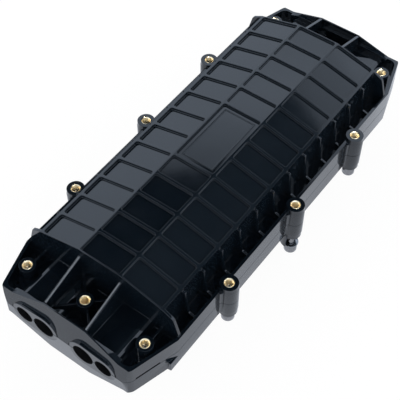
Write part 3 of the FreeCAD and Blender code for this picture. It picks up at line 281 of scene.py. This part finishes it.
def bevel_edges(piece, wanted, width, segments):
    """Rounds the sharp edges whose two ends pass a test."""
    pick(piece)
    bpy.ops.object.mode_set(mode="EDIT")
    bpy.ops.mesh.select_mode(type="EDGE")
    bpy.ops.mesh.select_all(action="DESELECT")
    bpy.ops.mesh.edges_select_sharp(sharpness=ROUNDED_FROM)
    bpy.ops.object.mode_set(mode="OBJECT")
    spots = [vertex.co for vertex in piece.data.vertices]
    for edge in piece.data.edges:
        one, other = edge.vertices
        edge.select = edge.select and wanted(spots[one], spots[other])
    bpy.ops.object.mode_set(mode="EDIT")
    bpy.ops.mesh.bevel(offset=width, segments=segments, affect="EDGES", clamp_overlap=False,
                       loop_slide=False)
    bpy.ops.object.mode_set(mode="OBJECT")


def drop_strays(piece, low, high):
    """Dissolves the few corners that a rounding has thrown out of the CAD node's box, and
    splits the faces that it has bent."""
    bpy.ops.object.mode_set(mode="EDIT")
    bpy.ops.mesh.select_mode(type="VERT")
    bpy.ops.mesh.select_all(action="DESELECT")
    bpy.ops.object.mode_set(mode="OBJECT")
    for vertex in piece.data.vertices:
        past = [max(least - value, value - most)
                for value, least, most in zip(vertex.co, low, high)]
        vertex.select = max(past) > STRAY
    bpy.ops.object.mode_set(mode="EDIT")
    bpy.ops.mesh.dissolve_verts()
    bpy.ops.mesh.select_all(action="SELECT")
    bpy.ops.mesh.vert_connect_nonplanar(angle_limit=BENT_FROM)
    bpy.ops.object.mode_set(mode="OBJECT")


def moulded_shell(node, body, way):
    """A shell with rounded edges, polished outside, satin in the room for the trays and painted
    shade in the port bores; way is +1 for the upper shell and -1 for the lower one."""
    piece = merged_copy(node, f"{node}_moulding")
    bpy.ops.object.mode_set(mode="EDIT")
    bpy.ops.mesh.select_all(action="SELECT")
    bpy.ops.mesh.dissolve_limited(angle_limit=FLAT_WITHIN)
    bpy.ops.mesh.select_all(action="SELECT")
    bpy.ops.mesh.remove_doubles(threshold=SLIVER)
    bpy.ops.object.mode_set(mode="OBJECT")
    low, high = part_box(node)
    crown = high[2] if way > 0 else low[2]

    def on_roof(spot):
        return abs(roof_depth(spot, crown, way)) < SLIVER

    bevel_edges(piece, lambda one, other: on_roof(one) and on_roof(other), RIB_EDGE,
                segments=3)
    rounding = piece.modifiers.new("mould_rounding", "BEVEL")
    rounding.width = MOULD_ROUNDING
    rounding.segments = 2
    rounding.limit_method = "ANGLE"
    rounding.angle_limit = ROUNDED_FROM
    rounding.use_clamp_overlap = False
    bpy.ops.object.modifier_apply(modifier=rounding.name)
    drop_strays(piece, low, high)
    bpy.ops.object.shade_smooth_by_angle(angle=SMOOTH_BELOW)
    flatten = piece.modifiers.new("flat_faces", "WEIGHTED_NORMAL")
    flatten.mode = "FACE_AREA"
    flatten.weight = 100
    flatten.keep_sharp = True
    bpy.ops.object.modifier_apply(modifier=flatten.name)
    finishes = (polished_shell, satin_shell, port_painted_shade)
    for finish in finishes:
        piece.data.materials.append(finish)
    for face in piece.data.polygons:
        spot = face.center
        in_plan = abs(spot.x) < ROOM_HALF_LENGTH and abs(spot.y) < ROOM_HALF_WIDTH
        if in_plan and roof_depth(spot, crown, way) > SKIN_DEPTH:
            face.material_index = finishes.index(satin_shell)
        # Faces in the port bores get the painted shade.
        elif in_port(face):
            face.material_index = finishes.index(port_painted_shade)
    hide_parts(node)
    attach(piece, body)


moulded_shell("lower_shell", "base", way=-1)

# Seals: two cords along the sides and a band across each end, in black silicone rubber.
# They are laid into the groove round the lower shell and squeezed as the bolts pull down.
RUBBER = (0.012, 0.012, 0.012, 1)
DUSTY_RUBBER = (0.03, 0.03, 0.03, 1)
NODE_ROUNDING = 0.00025


def dress(node, finish, rounding=NODE_ROUNDING):
    """Gives a CAD node its finish, and rounds its edges without touching its mesh."""
    shape = frame["nodes"][node]
    shape.data.materials.clear()
    shape.data.materials.append(finish)
    weld = shape.modifiers.new("weld", "WELD")
    weld.merge_threshold = WELD
    soft = shape.modifiers.new("rounding", "BEVEL")
    soft.width = rounding
    soft.segments = 2
    soft.limit_method = "ANGLE"
    soft.angle_limit = ROUNDED_FROM


rubber = moulded_plastic("seal_rubber", RUBBER, DUSTY_RUBBER, smooth=0.6, rough=0.8, grain=900.0,
                         depth=0.00004, ior=1.5)
for seal in ("seal_left", "seal_right", "end_seals"):
    dress(seal, rubber)

# Deck: the tray base, the hinge bracket and the two cable anchor bars, cut and folded from
# zinc-plated steel sheet and screwed to the posts of the lower shell.
ZINC = (0.56, 0.57, 0.57, 1)
BRIGHT_ZINC = (0.70, 0.71, 0.70, 1)


def make_metal_skin():
    """Plated or turned metal: grains of slightly different tone, and fine lines along Z."""
    tree, given, result = node_group("metal_skin", {
        "Colour": ("NodeSocketColor", ZINC),
        "Second Colour": ("NodeSocketColor", BRIGHT_ZINC),
        "Smooth": ("NodeSocketFloat", 0.25),
        "Rough": ("NodeSocketFloat", 0.45),
        "Grain Scale": ("NodeSocketFloat", 220.0),
        "Line Scale": ("NodeSocketFloat", 2600.0),
    }, {"Colour": "NodeSocketColor", "Roughness": "NodeSocketFloat", "Height": "NodeSocketFloat"})
    links = tree.links
    place = add_node(tree, "ShaderNodeTexCoord").outputs["Object"]
    grains = add_node(tree, "ShaderNodeTexVoronoi", feature="F1", Randomness=1.0)
    tone = add_node(tree, "ShaderNodeSeparateColor")
    colour = add_node(tree, "ShaderNodeMix", data_type="RGBA")
    smudge = add_node(tree, "ShaderNodeTexNoise", Scale=90.0, Detail=4.0, Roughness=0.6)
    gloss = add_node(tree, "ShaderNodeMapRange", From_Min=0.3, From_Max=0.7)
    lines = add_node(tree, "ShaderNodeTexNoise", noise_dimensions="1D", Detail=2.0)
    upright = add_node(tree, "ShaderNodeSeparateXYZ")
    links.new(place, grains.inputs["Vector"])
    links.new(place, smudge.inputs["Vector"])
    links.new(place, upright.inputs["Vector"])
    links.new(given.outputs["Grain Scale"], grains.inputs["Scale"])
    links.new(grains.outputs["Color"], tone.inputs["Color"])
    links.new(tone.outputs["Red"], colour.inputs["Factor"])
    links.new(given.outputs["Colour"], colour.inputs["A"])
    links.new(given.outputs["Second Colour"], colour.inputs["B"])
    links.new(smudge.outputs["Fac"], gloss.inputs["Value"])
    links.new(given.outputs["Smooth"], gloss.inputs["To Min"])
    links.new(given.outputs["Rough"], gloss.inputs["To Max"])
    links.new(upright.outputs["Z"], lines.inputs["W"])
    links.new(given.outputs["Line Scale"], lines.inputs["Scale"])
    links.new(colour.outputs["Result"], result.inputs["Colour"])
    links.new(gloss.outputs["Result"], result.inputs["Roughness"])
    links.new(lines.outputs["Fac"], result.inputs["Height"])
    return tree


metal_skin = make_metal_skin()


def metal(name, colour, second, smooth, rough, grain=220.0, lines=2600.0, depth=0.000004):
    """A metal on the metal skin; depth is the height of its fine lines."""
    made, tree, shader = new_material(name, Metallic=1.0)
    skin = use_group(tree, metal_skin, Colour=colour, Second_Colour=second, Smooth=smooth,
                     Rough=rough, Grain_Scale=grain, Line_Scale=lines)
    skin_into(tree, shader, skin)
    bump_into(tree, shader, skin.outputs["Height"], depth)
    return made


zinc_plate = metal("zinc_plate", ZINC, BRIGHT_ZINC, smooth=0.28, rough=0.46)
for plate in ("tray_base", "hinge_bracket", "anchor_bar_near", "anchor_bar_far", "clamp_plates"):
    dress(plate, zinc_plate)

# Small screws: pan heads with a cross recess, in nickel-plated steel. They hold the plates
# to the posts, the hinge bracket to the tray base, and the clamps and earth lugs to the bars.
SCREW_RADIUS = 0.0015
SCREW_POINT = 0.0009
SCREW_HEAD_RADIUS = 0.0032
SCREW_HEAD = 0.0024
PAN_PROFILE = ((0.97, 0), (1, 0.1), (1, 0.5), (0.92, 0.78), (0.7, 0.94), (0.35, 1))
RECESS_LENGTH = 0.0036
RECESS_WIDTH = 0.0008
RECESS_DEPTH = 0.0014
NICKEL = (0.60, 0.58, 0.54, 1)
BRIGHT_NICKEL = (0.70, 0.68, 0.64, 1)
SCREW_SIDES = 24


def solids_of(node):
    """The lowest and highest corner of each separate solid in a CAD node."""
    pick(merged_copy(node, "solids"))
    bpy.ops.object.mode_set(mode="EDIT")
    bpy.ops.mesh.select_all(action="SELECT")
    bpy.ops.mesh.separate(type="LOOSE")
    bpy.ops.object.mode_set(mode="OBJECT")
    boxes = []
    for solid in bpy.context.selected_objects:
        spots = [vertex.co for vertex in solid.data.vertices]
        boxes.append((tuple(min(spot[i] for spot in spots) for i in range(3)),
                      tuple(max(spot[i] for spot in spots) for i in range(3))))
    bpy.ops.object.delete()
    return sorted(boxes)


def turned(name, profile, sides, closed=False):
    """Turns a piece about the Z axis: one ring for each (radius, height) of its profile.
    A closed profile goes back to its first ring; an open one is capped at both ends."""
    deselect()
    radius, height = profile[0]
    bpy.ops.mesh.primitive_circle_add(vertices=sides, radius=radius, location=(0, 0, height))
    piece = bpy.context.object
    piece.name = name
    bpy.ops.object.transform_apply(location=True)
    bpy.ops.object.mode_set(mode="EDIT")
    bpy.ops.mesh.select_all(action="SELECT")
    rings = profile[1:] + profile[:1] if closed else profile[1:]
    for next_radius, next_height in rings:
        bpy.ops.mesh.extrude_region_move(
            TRANSFORM_OT_translate={"value": (0, 0, next_height - height)})
        grown = next_radius / radius
        bpy.ops.transform.resize(value=(grown, grown, 1), center_override=(0, 0, next_height))
        radius, height = next_radius, next_height
    bpy.ops.mesh.select_all(action="SELECT")
    bpy.ops.mesh.remove_doubles(threshold=WELD)
    if not closed:
        bpy.ops.mesh.select_all(action="DESELECT")
        bpy.ops.mesh.select_non_manifold()
        bpy.ops.mesh.fill_holes(sides=0)
    bpy.ops.mesh.select_all(action="SELECT")
    bpy.ops.mesh.normals_make_consistent(inside=False)
    bpy.ops.object.mode_set(mode="OBJECT")
    return piece


def carve(piece, tool):
    """Cuts a tool's shape out of a piece, and deletes the tool."""
    pick(piece)
    cutter = piece.modifiers.new("carve", "BOOLEAN")
    cutter.operation = "DIFFERENCE"
    cutter.solver = "EXACT"
    cutter.object = tool
    bpy.ops.object.modifier_apply(modifier=cutter.name)
    bpy.data.objects.remove(tool)


def copies(model, name, spots, finish):
    """One piece made of a copy of the model at each spot; the model is deleted."""
    deselect()
    made = []
    for spot in spots:
        one = bpy.data.objects.new(name, model.data.copy())
        bpy.context.collection.objects.link(one)
        one.location = spot
        one.select_set(True)
        made.append(one)
    bpy.data.objects.remove(model)
    bpy.context.view_layer.objects.active = made[0]
    bpy.ops.object.transform_apply(location=True)
    if len(made) > 1:
        bpy.ops.object.join()
    piece = bpy.context.object
    piece.name = name
    piece.data.materials.clear()
    piece.data.materials.append(finish)
    pick(piece)
    bpy.ops.object.shade_smooth_by_angle(angle=SMOOTH_BELOW)
    return piece


def plan_middle(solid, height):
    """The middle of a solid's box in plan, at a height."""
    low, high = solid
    return (low[0] + high[0]) / 2, (low[1] + high[1]) / 2, height


def pan_head_screw(length):
    """A screw whose head sits on the XY plane, with its shank below. The head's profile is in
    shares of its radius and height."""
    shank = [(SCREW_POINT, -length), (SCREW_RADIUS, -length + SCREW_POINT), (SCREW_RADIUS, 0)]
    head = [(SCREW_HEAD_RADIUS * out, SCREW_HEAD * up) for out, up in PAN_PROFILE]
    screw = turned("screw", shank + head, SCREW_SIDES)
    for along, across in ((RECESS_LENGTH, RECESS_WIDTH), (RECESS_WIDTH, RECESS_LENGTH)):
        deselect()
        bpy.ops.mesh.primitive_cube_add(size=1, location=(0, 0, SCREW_HEAD))
        recess = bpy.context.object
        recess.scale = (along, across, 2 * RECESS_DEPTH)
        bpy.ops.object.transform_apply(location=True, scale=True)
        carve(screw, recess)
    return screw


nickel_screw = metal("nickel_screw", NICKEL, BRIGHT_NICKEL, smooth=0.2, rough=0.35, grain=500.0)
for screws in ("tray_base_screws", "hinge_screws", "anchor_screws", "clamp_screws",
               "earth_screws"):
    solids = solids_of(screws)
    low, high = solids[0]
    model = pan_head_screw(high[2] - low[2] - SCREW_HEAD)
    heads = [plan_middle(solid, solid[1][2] - SCREW_HEAD) for solid in solids]
    piece = copies(model, f"{screws}_pan_head", heads, nickel_screw)
    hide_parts(screws)
    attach(piece, "base")

# Earth wire: a copper core in green and yellow sheathing, crimped into a tinned copper lug
# under each anchor bar, so that the cables' steel armour is joined across the closure.
SHEATH_GREEN = (0.02, 0.19, 0.05, 1)
SHEATH_YELLOW = (0.70, 0.55, 0.02, 1)
STRIPE_EDGE = 0.00008
SHEATH_GRAIN = 0.00002
TINNED = (0.62, 0.60, 0.57, 1)
BRIGHT_TIN = (0.72, 0.71, 0.69, 1)


def sheathing():
    """Sheathing that is green along one side of the wire and yellow along the other."""
    made, tree, shader = new_material("earth_sheath", IOR=1.5)
    low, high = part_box("earth_wire")
    to_middle = (0, -(low[1] + high[1]) / 2, -(low[2] + high[2]) / 2)
    place = add_node(tree, "ShaderNodeTexCoord")
    centred = add_node(tree, "ShaderNodeMapping", Location=to_middle)
    parts = add_node(tree, "ShaderNodeSeparateXYZ")
    stripe = add_node(tree, "ShaderNodeMapRange", From_Min=-STRIPE_EDGE, From_Max=STRIPE_EDGE)
    mix = add_node(tree, "ShaderNodeMix", data_type="RGBA", A=SHEATH_GREEN, B=SHEATH_YELLOW)
    skin = use_group(tree, moulded_skin, Smooth=0.3, Rough=0.45, Grain_Scale=1500.0)
    links = tree.links
    links.new(place.outputs["Object"], centred.inputs["Vector"])
    links.new(centred.outputs["Vector"], parts.inputs["Vector"])
    links.new(parts.outputs["Y"], stripe.inputs["Value"])
    links.new(stripe.outputs["Result"], mix.inputs["Factor"])
    links.new(mix.outputs["Result"], skin.inputs["Colour"])
    links.new(mix.outputs["Result"], skin.inputs["Haze Colour"])
    skin_into(tree, shader, skin)
    bump_into(tree, shader, skin.outputs["Height"], SHEATH_GRAIN)
    return made


dress("earth_wire", sheathing())
dress("earth_lugs", metal("tinned_copper", TINNED, BRIGHT_TIN, smooth=0.25, rough=0.4,
                          grain=600.0))

# Splice trays: four shallow dishes moulded in off-white ABS, one above the other on steel
# hinge pins, with fibre drums, keeper tabs and a grey rubbery holder on each side.
TRAY_WHITE = (0.66, 0.66, 0.63, 1)
TRAY_SHADE = (0.58, 0.58, 0.55, 1)
HOLDER_GREY = (0.10, 0.11, 0.12, 1)
HOLDER_PALE = (0.15, 0.16, 0.17, 1)
TRAYS = [node for node in frame["nodes"] if node.startswith("splice_tray")]
tray_plastic = moulded_plastic("tray_plastic", TRAY_WHITE, TRAY_SHADE, smooth=0.38, rough=0.5,
                               grain=1600.0, depth=0.00002, ior=1.53)
holder_rubber = moulded_plastic("holder_rubber", HOLDER_GREY, HOLDER_PALE, smooth=0.5, rough=0.65,
                                grain=1400.0, depth=0.00003, ior=1.48)
for tray in TRAYS:
    dress(tray, tray_plastic)
dress("hinge_pins", nickel_screw)
dress("splice_holders", holder_rubber)

# Hold-down: a clear cover sheet on the top tray, and the stud and wing nut that clamp the
# stack. The sheet is polished polycarbonate and the nut is cast zinc.
CLEAR = (0.93, 0.95, 0.96, 1)
CAST_ZINC = (0.50, 0.50, 0.50, 1)
WING_ROUNDING = 0.0004


def clear_sheet():
    """Clear plastic with a faint haze."""
    made, tree, shader = new_material("clear_sheet", Base_Color=CLEAR, Transmission_Weight=1.0,
                                      IOR=1.49)
    skin = use_group(tree, moulded_skin, Smooth=0.02, Rough=0.09, Cloud_Scale=20.0)
    tree.links.new(skin.outputs["Roughness"], shader.inputs["Roughness"])
    return made


dress("tray_cover", clear_sheet())
dress("tray_stud", nickel_screw)
dress("wing_nut", metal("cast_zinc", CAST_ZINC, ZINC, smooth=0.35, rough=0.55, grain=900.0),
      WING_ROUNDING)

# Upper shell: the top half, moulded in the same black plastic as the lower one. It lowers
# on to the seals and is drawn down by the bolts into its brass inserts.
moulded_shell("upper_shell", "cover", way=1)

# Brass inserts: threaded bushes moulded into the bosses of the upper shell, turned from
# bar. The bore is chamfered, its thread shows down to the bolt's tip, and the rim is bright.
INSERT_RADIUS = 0.0049
THREAD_CREST = 0.0030
THREAD_ROOT = 0.0034
THREAD_PITCH = 0.0010
THREAD_FLANK = 0.0004
THREAD_LAND = 0.0001
INSERT_CHAMFER = 0.0005
INSERT_SIDES = 40
BRASS = (0.90, 0.74, 0.48, 1)
BRIGHT_BRASS = (0.97, 0.87, 0.66, 1)


def thread(name, crest, root, length, sides):
    """A helical thread about the Z axis from the XY plane up, one tooth swept round."""
    deselect()
    bpy.ops.mesh.primitive_plane_add(size=THREAD_PITCH)
    ridge = bpy.context.object
    ridge.name = name
    bpy.ops.object.mode_set(mode="EDIT")
    bpy.ops.mesh.select_all(action="SELECT")
    bpy.ops.mesh.merge(type="CENTER")
    bpy.ops.transform.translate(value=(root, 0, 0))
    for out, up in ((crest - root, THREAD_FLANK), (0, THREAD_LAND),
                    (root - crest, THREAD_FLANK), (0, THREAD_LAND)):
        bpy.ops.mesh.extrude_region_move(TRANSFORM_OT_translate={"value": (out, 0, up)})
    bpy.ops.object.mode_set(mode="OBJECT")
    turn = ridge.modifiers.new("turn", "SCREW")
    turn.axis = "Z"
    turn.angle = 2 * math.pi
    turn.screw_offset = THREAD_PITCH
    turn.iterations = int(length / THREAD_PITCH) - 1
    turn.steps = sides
    turn.render_steps = sides
    turn.use_merge_vertices = True
    turn.merge_threshold = WELD
    bpy.ops.object.modifier_apply(modifier=turn.name)
    bpy.ops.object.mode_set(mode="EDIT")
    bpy.ops.mesh.select_all(action="SELECT")
    bpy.ops.mesh.remove_doubles(threshold=WELD)
    bpy.ops.mesh.normals_make_consistent(inside=False)
    bpy.ops.object.mode_set(mode="OBJECT")
    return ridge


def join(piece, *others):
    pick(piece)
    for other in others:
        other.select_set(True)
    bpy.ops.object.join()
    return piece


def brass_insert(length):
    """An insert whose top lies on the XY plane."""
    bush = turned("insert", [
        (THREAD_ROOT, -length), (INSERT_RADIUS - INSERT_CHAMFER, -length),
        (INSERT_RADIUS, -length + INSERT_CHAMFER), (INSERT_RADIUS, -INSERT_CHAMFER),
        (INSERT_RADIUS - INSERT_CHAMFER, 0), (THREAD_ROOT + 2 * INSERT_CHAMFER, 0),
        (THREAD_ROOT, -2 * INSERT_CHAMFER)], INSERT_SIDES, closed=True)
    ridge = thread("insert_thread", THREAD_CREST, THREAD_ROOT, length - 2 * THREAD_PITCH,
                   INSERT_SIDES)
    bpy.ops.object.mode_set(mode="EDIT")
    bpy.ops.mesh.select_all(action="SELECT")
    bpy.ops.transform.translate(value=(0, 0, THREAD_PITCH - length))
    bpy.ops.mesh.flip_normals()
    bpy.ops.object.mode_set(mode="OBJECT")
    return join(bush, ridge)


brass = metal("turned_brass", BRASS, BRIGHT_BRASS, smooth=0.25, rough=0.4, grain=700.0,
              lines=5000.0)
solids = solids_of("brass_inserts")
low, high = solids[0]
tops = [plan_middle(solid, solid[1][2]) for solid in solids]
inserts = copies(brass_insert(high[2] - low[2]), "brass_inserts_turned", tops, brass)
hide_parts("brass_inserts")
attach(inserts, "cover")

# Closing bolts and washers: stainless socket-head screws, put in from below with a plain
# washer. One in the middle of the right-hand side hangs backed out of its insert.
BOLT_RADIUS = 0.0029
BOLT_ROOT = 0.0025
HEAD_RADIUS = 0.0062
HEAD_HEIGHT = 0.0102
HEAD_ROUNDING = 0.0008
ROUNDING_MIDDLE = 0.00024
SOCKET_RADIUS = 0.0029
SOCKET_DEPTH = 0.0050
WASHER_RADIUS = 0.0072
WASHER_BORE = 0.0033
WASHER_THICK = 0.0012
WASHER_EDGE = 0.00025
BOLT_SIDES = 36
# The steel is painted darker than stainless: painted shade for the shadowed floor under the
# closure that the bolts reflect.
STAINLESS_DARKENED_FOR_SHADE = (0.22, 0.22, 0.225, 1)
BRIGHT_STAINLESS_DARKENED_FOR_SHADE = (0.30, 0.30, 0.305, 1)


def socket_bolt(length):
    """A bolt whose head hangs under the XY plane, with its shank above."""
    edge, middle = HEAD_ROUNDING, ROUNDING_MIDDLE
    bolt = turned("bolt", [
        (HEAD_RADIUS - edge, -HEAD_HEIGHT), (HEAD_RADIUS - middle, -HEAD_HEIGHT + middle),
        (HEAD_RADIUS, -HEAD_HEIGHT + edge), (HEAD_RADIUS, -middle), (HEAD_RADIUS - middle, 0),
        (BOLT_ROOT, 0), (BOLT_ROOT, length - edge), (BOLT_ROOT - edge, length)], BOLT_SIDES)
    deselect()
    bpy.ops.mesh.primitive_cylinder_add(vertices=6, radius=SOCKET_RADIUS, depth=2 * SOCKET_DEPTH,
                                        location=(0, 0, -HEAD_HEIGHT))
    socket = bpy.context.object
    bpy.ops.object.transform_apply(location=True)
    carve(bolt, socket)
    ridge = thread("bolt_thread", BOLT_RADIUS, BOLT_ROOT, length - THREAD_PITCH, BOLT_SIDES)
    return join(bolt, ridge)


def plain_washer():
    """A washer whose lower face lies on the XY plane."""
    edge = WASHER_EDGE
    return turned("washer", [
        (WASHER_BORE, 0), (WASHER_RADIUS - edge, 0), (WASHER_RADIUS, edge),
        (WASHER_RADIUS, WASHER_THICK - edge), (WASHER_RADIUS - edge, WASHER_THICK),
        (WASHER_BORE, WASHER_THICK)], BOLT_SIDES, closed=True)


# Bolts and washers share this darkened steel, a painted shade in their reflections.
shade_darkened_stainless = metal("stainless_bolt_painted_shade", STAINLESS_DARKENED_FOR_SHADE, BRIGHT_STAINLESS_DARKENED_FOR_SHADE, smooth=0.1, rough=0.22,
                  grain=900.0, lines=4000.0, depth=0.000002)
for bolts, washers, body in (("closing_bolts", "bolt_washers", "bolts"),
                             ("loose_bolt", "loose_washer", "backed_out_bolt")):
    solids = solids_of(bolts)
    low, high = solids[0]
    seats = [plan_middle(solid, solid[0][2] + HEAD_HEIGHT) for solid in solids]
    model = socket_bolt(high[2] - low[2] - HEAD_HEIGHT)
    piece = copies(model, f"{bolts}_socket_head", seats, shade_darkened_stainless)
    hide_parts(bolts)
    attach(piece, body)
    rings = [plan_middle(solid, solid[0][2]) for solid in solids_of(washers)]
    piece = copies(plain_washer(), f"{washers}_plain", rings, shade_darkened_stainless)
    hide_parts(washers)
    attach(piece, body)

# Studio: a white floor under a white surround, with a dark ceiling and a small light card
# that the polished plastic reflects, and a lamp that brings up the brass. The camera stands
# where the photograph was taken from.
FLOOR_HALF = 30.0
CEILING_HEIGHT = 20.0
CEILING_PLACE = (-0.14, 0.77, CEILING_HEIGHT)
CEILING_EDGE = math.radians(51.3)
CEILING_SIDES = 96
SURROUND_LIGHT = 1.2
FLOOR_SEEN = 1.03
FLOOR_MIRRORED = 0.80
PAPER_TINT = (0.95, 1.0, 1.1, 1)
COOL_WHITE = (0.92, 1.06, 1.27, 1)
SURROUND_BANDS = ((0.68, 0.85), (0.715, 1.0), (0.735, 0.95), (0.757, 0.66), (0.785, 0.56))
RIGHT_SIDE = -0.1
LEFT_SIDE = 0.33
RIGHT_LIGHT = 1.32
LEFT_LIGHT = 1.18
LAMP_PLACE = (-0.42, -0.90, 1.20)
LAMP_SIZE = 0.25
LAMP_POWER = 32.0
SHADOW_SHARE = 0.08
WHITE = (1, 1, 1, 1)
CEILING_BLACK = (0.012, 0.016, 0.022, 1)
CEILING_GREY = (0.075, 0.10, 0.13, 1)
CEILING_GREY_TO = 1.0
CEILING_BLACK_FROM = 6.0
CARD_PLACE = (-4.1, 9.1, 19.8)
CARD_SIZE = 2.6
CARD_LIGHT = 1.8
CAMERA_PLACE = (-0.47572, -0.32631, 0.76597)
CAMERA_TURN = (37.5462, -0.1697, -53.6479)
CAMERA_LENS = 86.852
CAMERA_SENSOR = 36.0
CAMERA_REACH = 200.0


def ray_kinds(tree):
    """Masks for rays from the camera, and for rays off gloss or through glass."""
    rays = add_node(tree, "ShaderNodeLightPath")
    mirrored = add_node(tree, "ShaderNodeMath", operation="MAXIMUM")
    tree.links.new(rays.outputs["Is Glossy Ray"], mirrored.inputs[0])
    tree.links.new(rays.outputs["Is Transmission Ray"], mirrored.inputs[1])
    return rays.outputs["Is Camera Ray"], mirrored.outputs["Value"]


def split_by_ray(tree, masks, plain, shown, glossy, surface):
    """Sends one shader to the camera, one into gloss and glass, and a plain one elsewhere."""
    seen, mirrored = masks
    to_camera = add_node(tree, "ShaderNodeMixShader")
    to_gloss = add_node(tree, "ShaderNodeMixShader")
    tree.links.new(seen, to_camera.inputs["Fac"])
    tree.links.new(plain, to_camera.inputs[1])
    tree.links.new(shown, to_camera.inputs[2])
    tree.links.new(mirrored, to_gloss.inputs["Fac"])
    tree.links.new(to_camera.outputs["Shader"], to_gloss.inputs[1])
    tree.links.new(glossy, to_gloss.inputs[2])
    tree.links.new(to_gloss.outputs["Shader"], surface)


def floor_paper():
    """Overlit paper: plain white to the camera but for a faint shadow, and bright in gloss."""
    made, tree, shader = new_material("floor_paper", Base_Color=WHITE, Roughness=1.0,
                                      Specular_IOR_Level=0.0)
    seen, mirrored = ray_kinds(tree)
    white = add_node(tree, "ShaderNodeEmission", Strength=FLOOR_SEEN)
    bright = add_node(tree, "ShaderNodeEmission", Color=PAPER_TINT, Strength=FLOOR_MIRRORED)
    share = add_node(tree, "ShaderNodeMath", operation="MULTIPLY")
    share.inputs[1].default_value = 1 - SHADOW_SHARE
    tree.links.new(seen, share.inputs[0])
    split_by_ray(tree, (share.outputs["Value"], mirrored), shader.outputs["BSDF"],
                 white.outputs["Emission"], bright.outputs["Emission"],
                 tree.nodes["Material Output"].inputs["Surface"])
    return made


def ceiling_cloth():
    """Black cloth over the left half of the closure, and dark grey over the right."""
    made, tree, shader = new_material("ceiling_cloth", Roughness=1.0, Specular_IOR_Level=0.0)
    place = add_node(tree, "ShaderNodeTexCoord")
    parts = add_node(tree, "ShaderNodeSeparateXYZ")
    across = add_node(tree, "ShaderNodeMapRange", From_Min=CEILING_GREY_TO,
                      From_Max=CEILING_BLACK_FROM)
    cloth = add_node(tree, "ShaderNodeMix", data_type="RGBA", A=CEILING_GREY, B=CEILING_BLACK)
    tree.links.new(place.outputs["Object"], parts.inputs["Vector"])
    tree.links.new(parts.outputs["Y"], across.inputs["Value"])
    tree.links.new(across.outputs["Result"], cloth.inputs["Factor"])
    tree.links.new(cloth.outputs["Result"], shader.inputs["Base Color"])
    return made


def white_surround():
    """A white world: even light, plain white to the camera, and cool bands in gloss that fade
    upwards and from right to left."""
    world = bpy.data.worlds.new("surround")
    world.use_nodes = True
    tree = world.node_tree
    lit = tree.nodes["Background"]
    lit.inputs["Color"].default_value = WHITE
    lit.inputs["Strength"].default_value = SURROUND_LIGHT
    shown = add_node(tree, "ShaderNodeBackground", Color=WHITE, Strength=1.0)
    way = add_node(tree, "ShaderNodeTexCoord")
    parts = add_node(tree, "ShaderNodeSeparateXYZ")
    bands = add_node(tree, "ShaderNodeValToRGB")
    stops = bands.color_ramp.elements
    while len(stops) < len(SURROUND_BANDS):
        stops.new(1.0)
    for stop, (sine, light) in zip(stops, SURROUND_BANDS):
        stop.position = sine
        stop.color = (light, light, light, 1)
    side = add_node(tree, "ShaderNodeMapRange", From_Min=RIGHT_SIDE, From_Max=LEFT_SIDE,
                    To_Min=RIGHT_LIGHT, To_Max=LEFT_LIGHT)
    strength = add_node(tree, "ShaderNodeMath", operation="MULTIPLY")
    cool = add_node(tree, "ShaderNodeBackground", Color=COOL_WHITE)
    tree.links.new(way.outputs["Generated"], parts.inputs["Vector"])
    tree.links.new(parts.outputs["Z"], bands.inputs["Fac"])
    tree.links.new(parts.outputs["Y"], side.inputs["Value"])
    tree.links.new(bands.outputs["Color"], strength.inputs[0])
    tree.links.new(side.outputs["Result"], strength.inputs[1])
    tree.links.new(strength.outputs["Value"], cool.inputs["Strength"])
    split_by_ray(tree, ray_kinds(tree), lit.outputs["Background"], shown.outputs["Background"],
                 cool.outputs["Background"], tree.nodes["World Output"].inputs["Surface"])
    return world


deselect()
bpy.ops.mesh.primitive_plane_add(size=2 * FLOOR_HALF)
floor = bpy.context.object
floor.name = "floor"
floor.data.materials.append(floor_paper())
deselect()
bpy.ops.mesh.primitive_circle_add(vertices=CEILING_SIDES, fill_type="NGON", location=CEILING_PLACE,
                                  radius=CEILING_HEIGHT / math.tan(CEILING_EDGE))
ceiling = bpy.context.object
ceiling.name = "dark_ceiling"
ceiling.visible_camera = False
ceiling.data.materials.append(ceiling_cloth())
deselect()
bpy.ops.mesh.primitive_plane_add(size=CARD_SIZE, location=CARD_PLACE)
card = bpy.context.object
card.name = "light_card"
card.visible_camera = False
card_light, _, _ = new_material("card_light", Base_Color=WHITE, Emission_Color=COOL_WHITE,
                                Emission_Strength=CARD_LIGHT)
card.data.materials.append(card_light)

bpy.context.scene.world = white_surround()
bpy.context.scene.view_settings.view_transform = "Standard"

deselect()
bpy.ops.object.light_add(type="AREA", location=LAMP_PLACE)
lamp = bpy.context.object
lamp.name = "lamp"
lamp.data.shape = "DISK"
lamp.data.size = LAMP_SIZE
lamp.data.energy = LAMP_POWER
lamp.rotation_euler = mathutils.Vector(LAMP_PLACE).to_track_quat("Z", "Y").to_euler()
lamp_lit = bpy.data.collections.new("lamp_lit")
lamp_lit.objects.link(inserts)
lamp.light_linking.receiver_collection = lamp_lit

lens = bpy.data.cameras.new("camera")
lens.lens = CAMERA_LENS
lens.sensor_width = CAMERA_SENSOR
lens.clip_end = CAMERA_REACH
camera = bpy.data.objects.new("camera", lens)
camera.location = CAMERA_PLACE
camera.rotation_euler = [math.radians(turn) for turn in CAMERA_TURN]
bpy.context.collection.objects.link(camera)
bpy.context.scene.camera = camera
